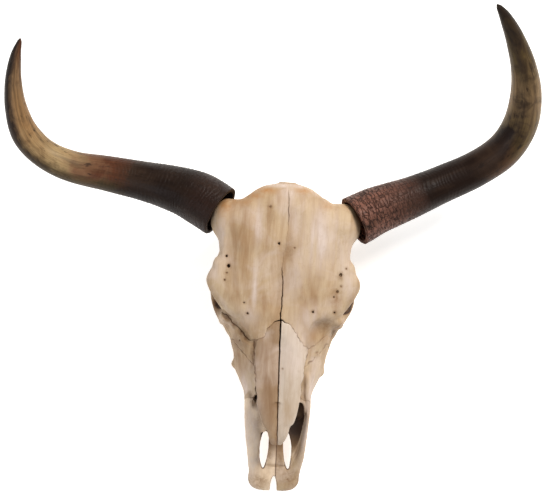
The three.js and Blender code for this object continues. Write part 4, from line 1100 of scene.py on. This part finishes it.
def aged_horn(name, bands, dark_side, dark_from, dark_bands, scales):
    """Bands are colours at distances from the mouth, the second ones on the dark side."""
    material, tree = blank_material(name)
    along, ridge, wrap, facing = (
        add(tree, READ, attribute_name=key).outputs["Vector" if key in ("wrap", "facing") else "Fac"]
        for key in ("along", "ridge", "wrap", "facing")
    )
    # Fibres lie about 2 mm apart along the horn, and streaks 8 mm.
    fibre = add(tree, NOISE, {0: add(tree, PLACED, {0: wrap, 3: (0.06, 1, 1)}), 2: 420, 3: 3})
    streak = add(tree, NOISE, {0: add(tree, PLACED, {0: wrap, 3: (0.16, 1, 1)}), 2: 90, 3: 4})
    blotch = add(tree, NOISE, {0: wrap, 2: 34, 3: 4, 4: 0.6, 8: 0.5})
    rough = add(tree, NOISE, {0: wrap, 2: 260, 3: 3})
    # Crazing in scales, about 5 mm along the horn and 12 mm round it.
    bent = add(tree, ARROW, {0: add(tree, NOISE, {0: wrap, 2: 150}).outputs[1], 1: (0.02,) * 3,
                             2: add(tree, PLACED, {0: wrap, 3: (2.4, 1, 1)})},
               operation="MULTIPLY_ADD")
    crack = add(tree, "ShaderNodeTexVoronoi", {0: bent, 2: 75}, feature="DISTANCE_TO_EDGE")
    crack = add(tree, RANGE, {0: crack, 1: 0.0, 2: 0.14, 3: 1, 4: 0})
    root = add(tree, RANGE, {0: along, 1: 0.04, 2: 0.14, 3: 1, 4: 0})
    scale = add(tree, MATH, {0: root, 1: scales}, operation="MULTIPLY")
    crack = add(tree, MATH, {0: crack, 1: scale}, operation="MULTIPLY")
    # The bands' edges wander by up to 35 mm either way, and their colours run into each other.
    wandering = add(tree, RANGE, {0: blotch, 1: 0.2, 2: 0.8, 3: -0.035, 4: 0.035})
    wandering = add(tree, MATH, {0: along, 1: wandering}, operation="ADD")
    wandering = add(tree, MATH, {0: wandering, 1: 0.6}, operation="DIVIDE")
    ramps = []
    for stops in (bands, dark_bands):
        ramp = add(tree, "ShaderNodeValToRGB", {0: wandering})
        for distance, code in stops:
            ramp.color_ramp.elements.new(distance / 0.6).color = linear(code)
        for spare in (ramp.color_ramp.elements[-1], ramp.color_ramp.elements[0]):
            ramp.color_ramp.elements.remove(spare)
        ramps.append(ramp)
    towards = add(tree, ARROW, {0: facing, 1: dark_side}, operation="DOT_PRODUCT")
    towards = add(tree, MATH, {0: blotch, 1: 0.9, 2: towards}, operation="MULTIPLY_ADD")
    shaded = add(tree, RANGE, {0: towards, 1: dark_from, 2: dark_from + 0.5})
    spots = add(tree, NOISE, {0: add(tree, PLACED, {0: wrap, 3: (0.4, 1, 1)}), 2: 150, 3: 3})
    colour = add(tree, MIX, {0: shaded, 6: ramps[0], 7: ramps[1]}, data_type="RGBA")
    for field, start, full, most, tint in (
        (scale, 0.15, 0.9, 0.8, "#835A4C"),
        (blotch, 0.55, 0.75, 0.45, HORN_DARK),
        # Painted shade: the troughs between the growth rings are darkened.
        (ridge, -0.1, -0.9, 0.4, HORN_DARK),
        (streak, 0.48, 0.72, 0.6, HORN_SHADE),
        (fibre, 0.45, 0.75, 0.4, FIBRE),
        (spots, 0.62, 0.72, 0.7, FIBRE),
        (crack, 0.0, 1.0, 0.9, CRACK),
    ):
        cover = add(tree, RANGE, {0: field, 1: start, 2: full, 4: most})
        colour = add(tree, MIX, {0: cover, 6: colour, 7: linear(tint)}, data_type="RGBA")

    height = add(tree, MATH, {0: rough, 1: root}, operation="MULTIPLY")
    for field, weight in ((fibre, 0.5), (crack, -1.6)):
        height = add(tree, MATH, {0: field, 1: weight, 2: height}, operation="MULTIPLY_ADD")
    bump = add(tree, "ShaderNodeBump", {"Strength": 0.8, "Distance": 0.0009, "Height": height})
    dull = add(tree, RANGE, {0: blotch, 1: 0.3, 2: 0.7, 3: 0.36, 4: 0.52})
    dull = add(tree, MATH, {0: crack, 1: 0.3, 2: dull}, operation="MULTIPLY_ADD")
    surface = add(tree, "ShaderNodeBsdfPrincipled", {
        "Base Color": colour, "Roughness": dull, "Normal": bump, "IOR": 1.54,
        "Specular IOR Level": 0.12,
    })
    add(tree, "ShaderNodeOutputMaterial", {"Surface": surface})
    return material


left_keratin = aged_horn(
    "aged_horn_left",
    [(0.0, HORN_RED), (0.06, HORN_RED), (0.1, HORN_DARK), (0.21, HORN_DARK), (0.26, HORN_BROWN),
     (0.3, "#735F3A"), (0.36, "#8A7050"), (0.44, HORN_OLIVE), (0.52, HORN_TIP)],
    (-0.25, 0.1, 0.96), 0.74,
    [(0.0, HORN_RED), (0.07, HORN_DARK), (0.2, HORN_DARK), (0.25, HORN_SHADE), (0.3, HORN_DARK),
     (0.36, HORN_DARK), (0.44, HORN_SHADE), (0.5, HORN_TIP)],
    0.95,
)
right_keratin = aged_horn(
    "aged_horn_right",
    [(0.0, HORN_DARK), (0.1, HORN_DARK), (0.15, HORN_SHADE), (0.19, HORN_RED), (0.23, "#7D5A40"),
     (0.28, HORN_PALE), (0.36, HORN_TAN), (0.44, "#8A6C4C"), (0.5, HORN_RED), (0.54, HORN_TIP)],
    (-0.72, -0.6, -0.1), 0.55,
    [(0.0, HORN_DARK), (0.16, HORN_DARK), (0.24, HORN_OLIVE), (0.36, HORN_SHADE),
     (0.5, HORN_TIP)],
    0.2,
)
horn_sheath("horn_sheath_left", LEFT_HORN, left_keratin)
horn_sheath("horn_sheath_right", RIGHT_HORN, right_keratin)
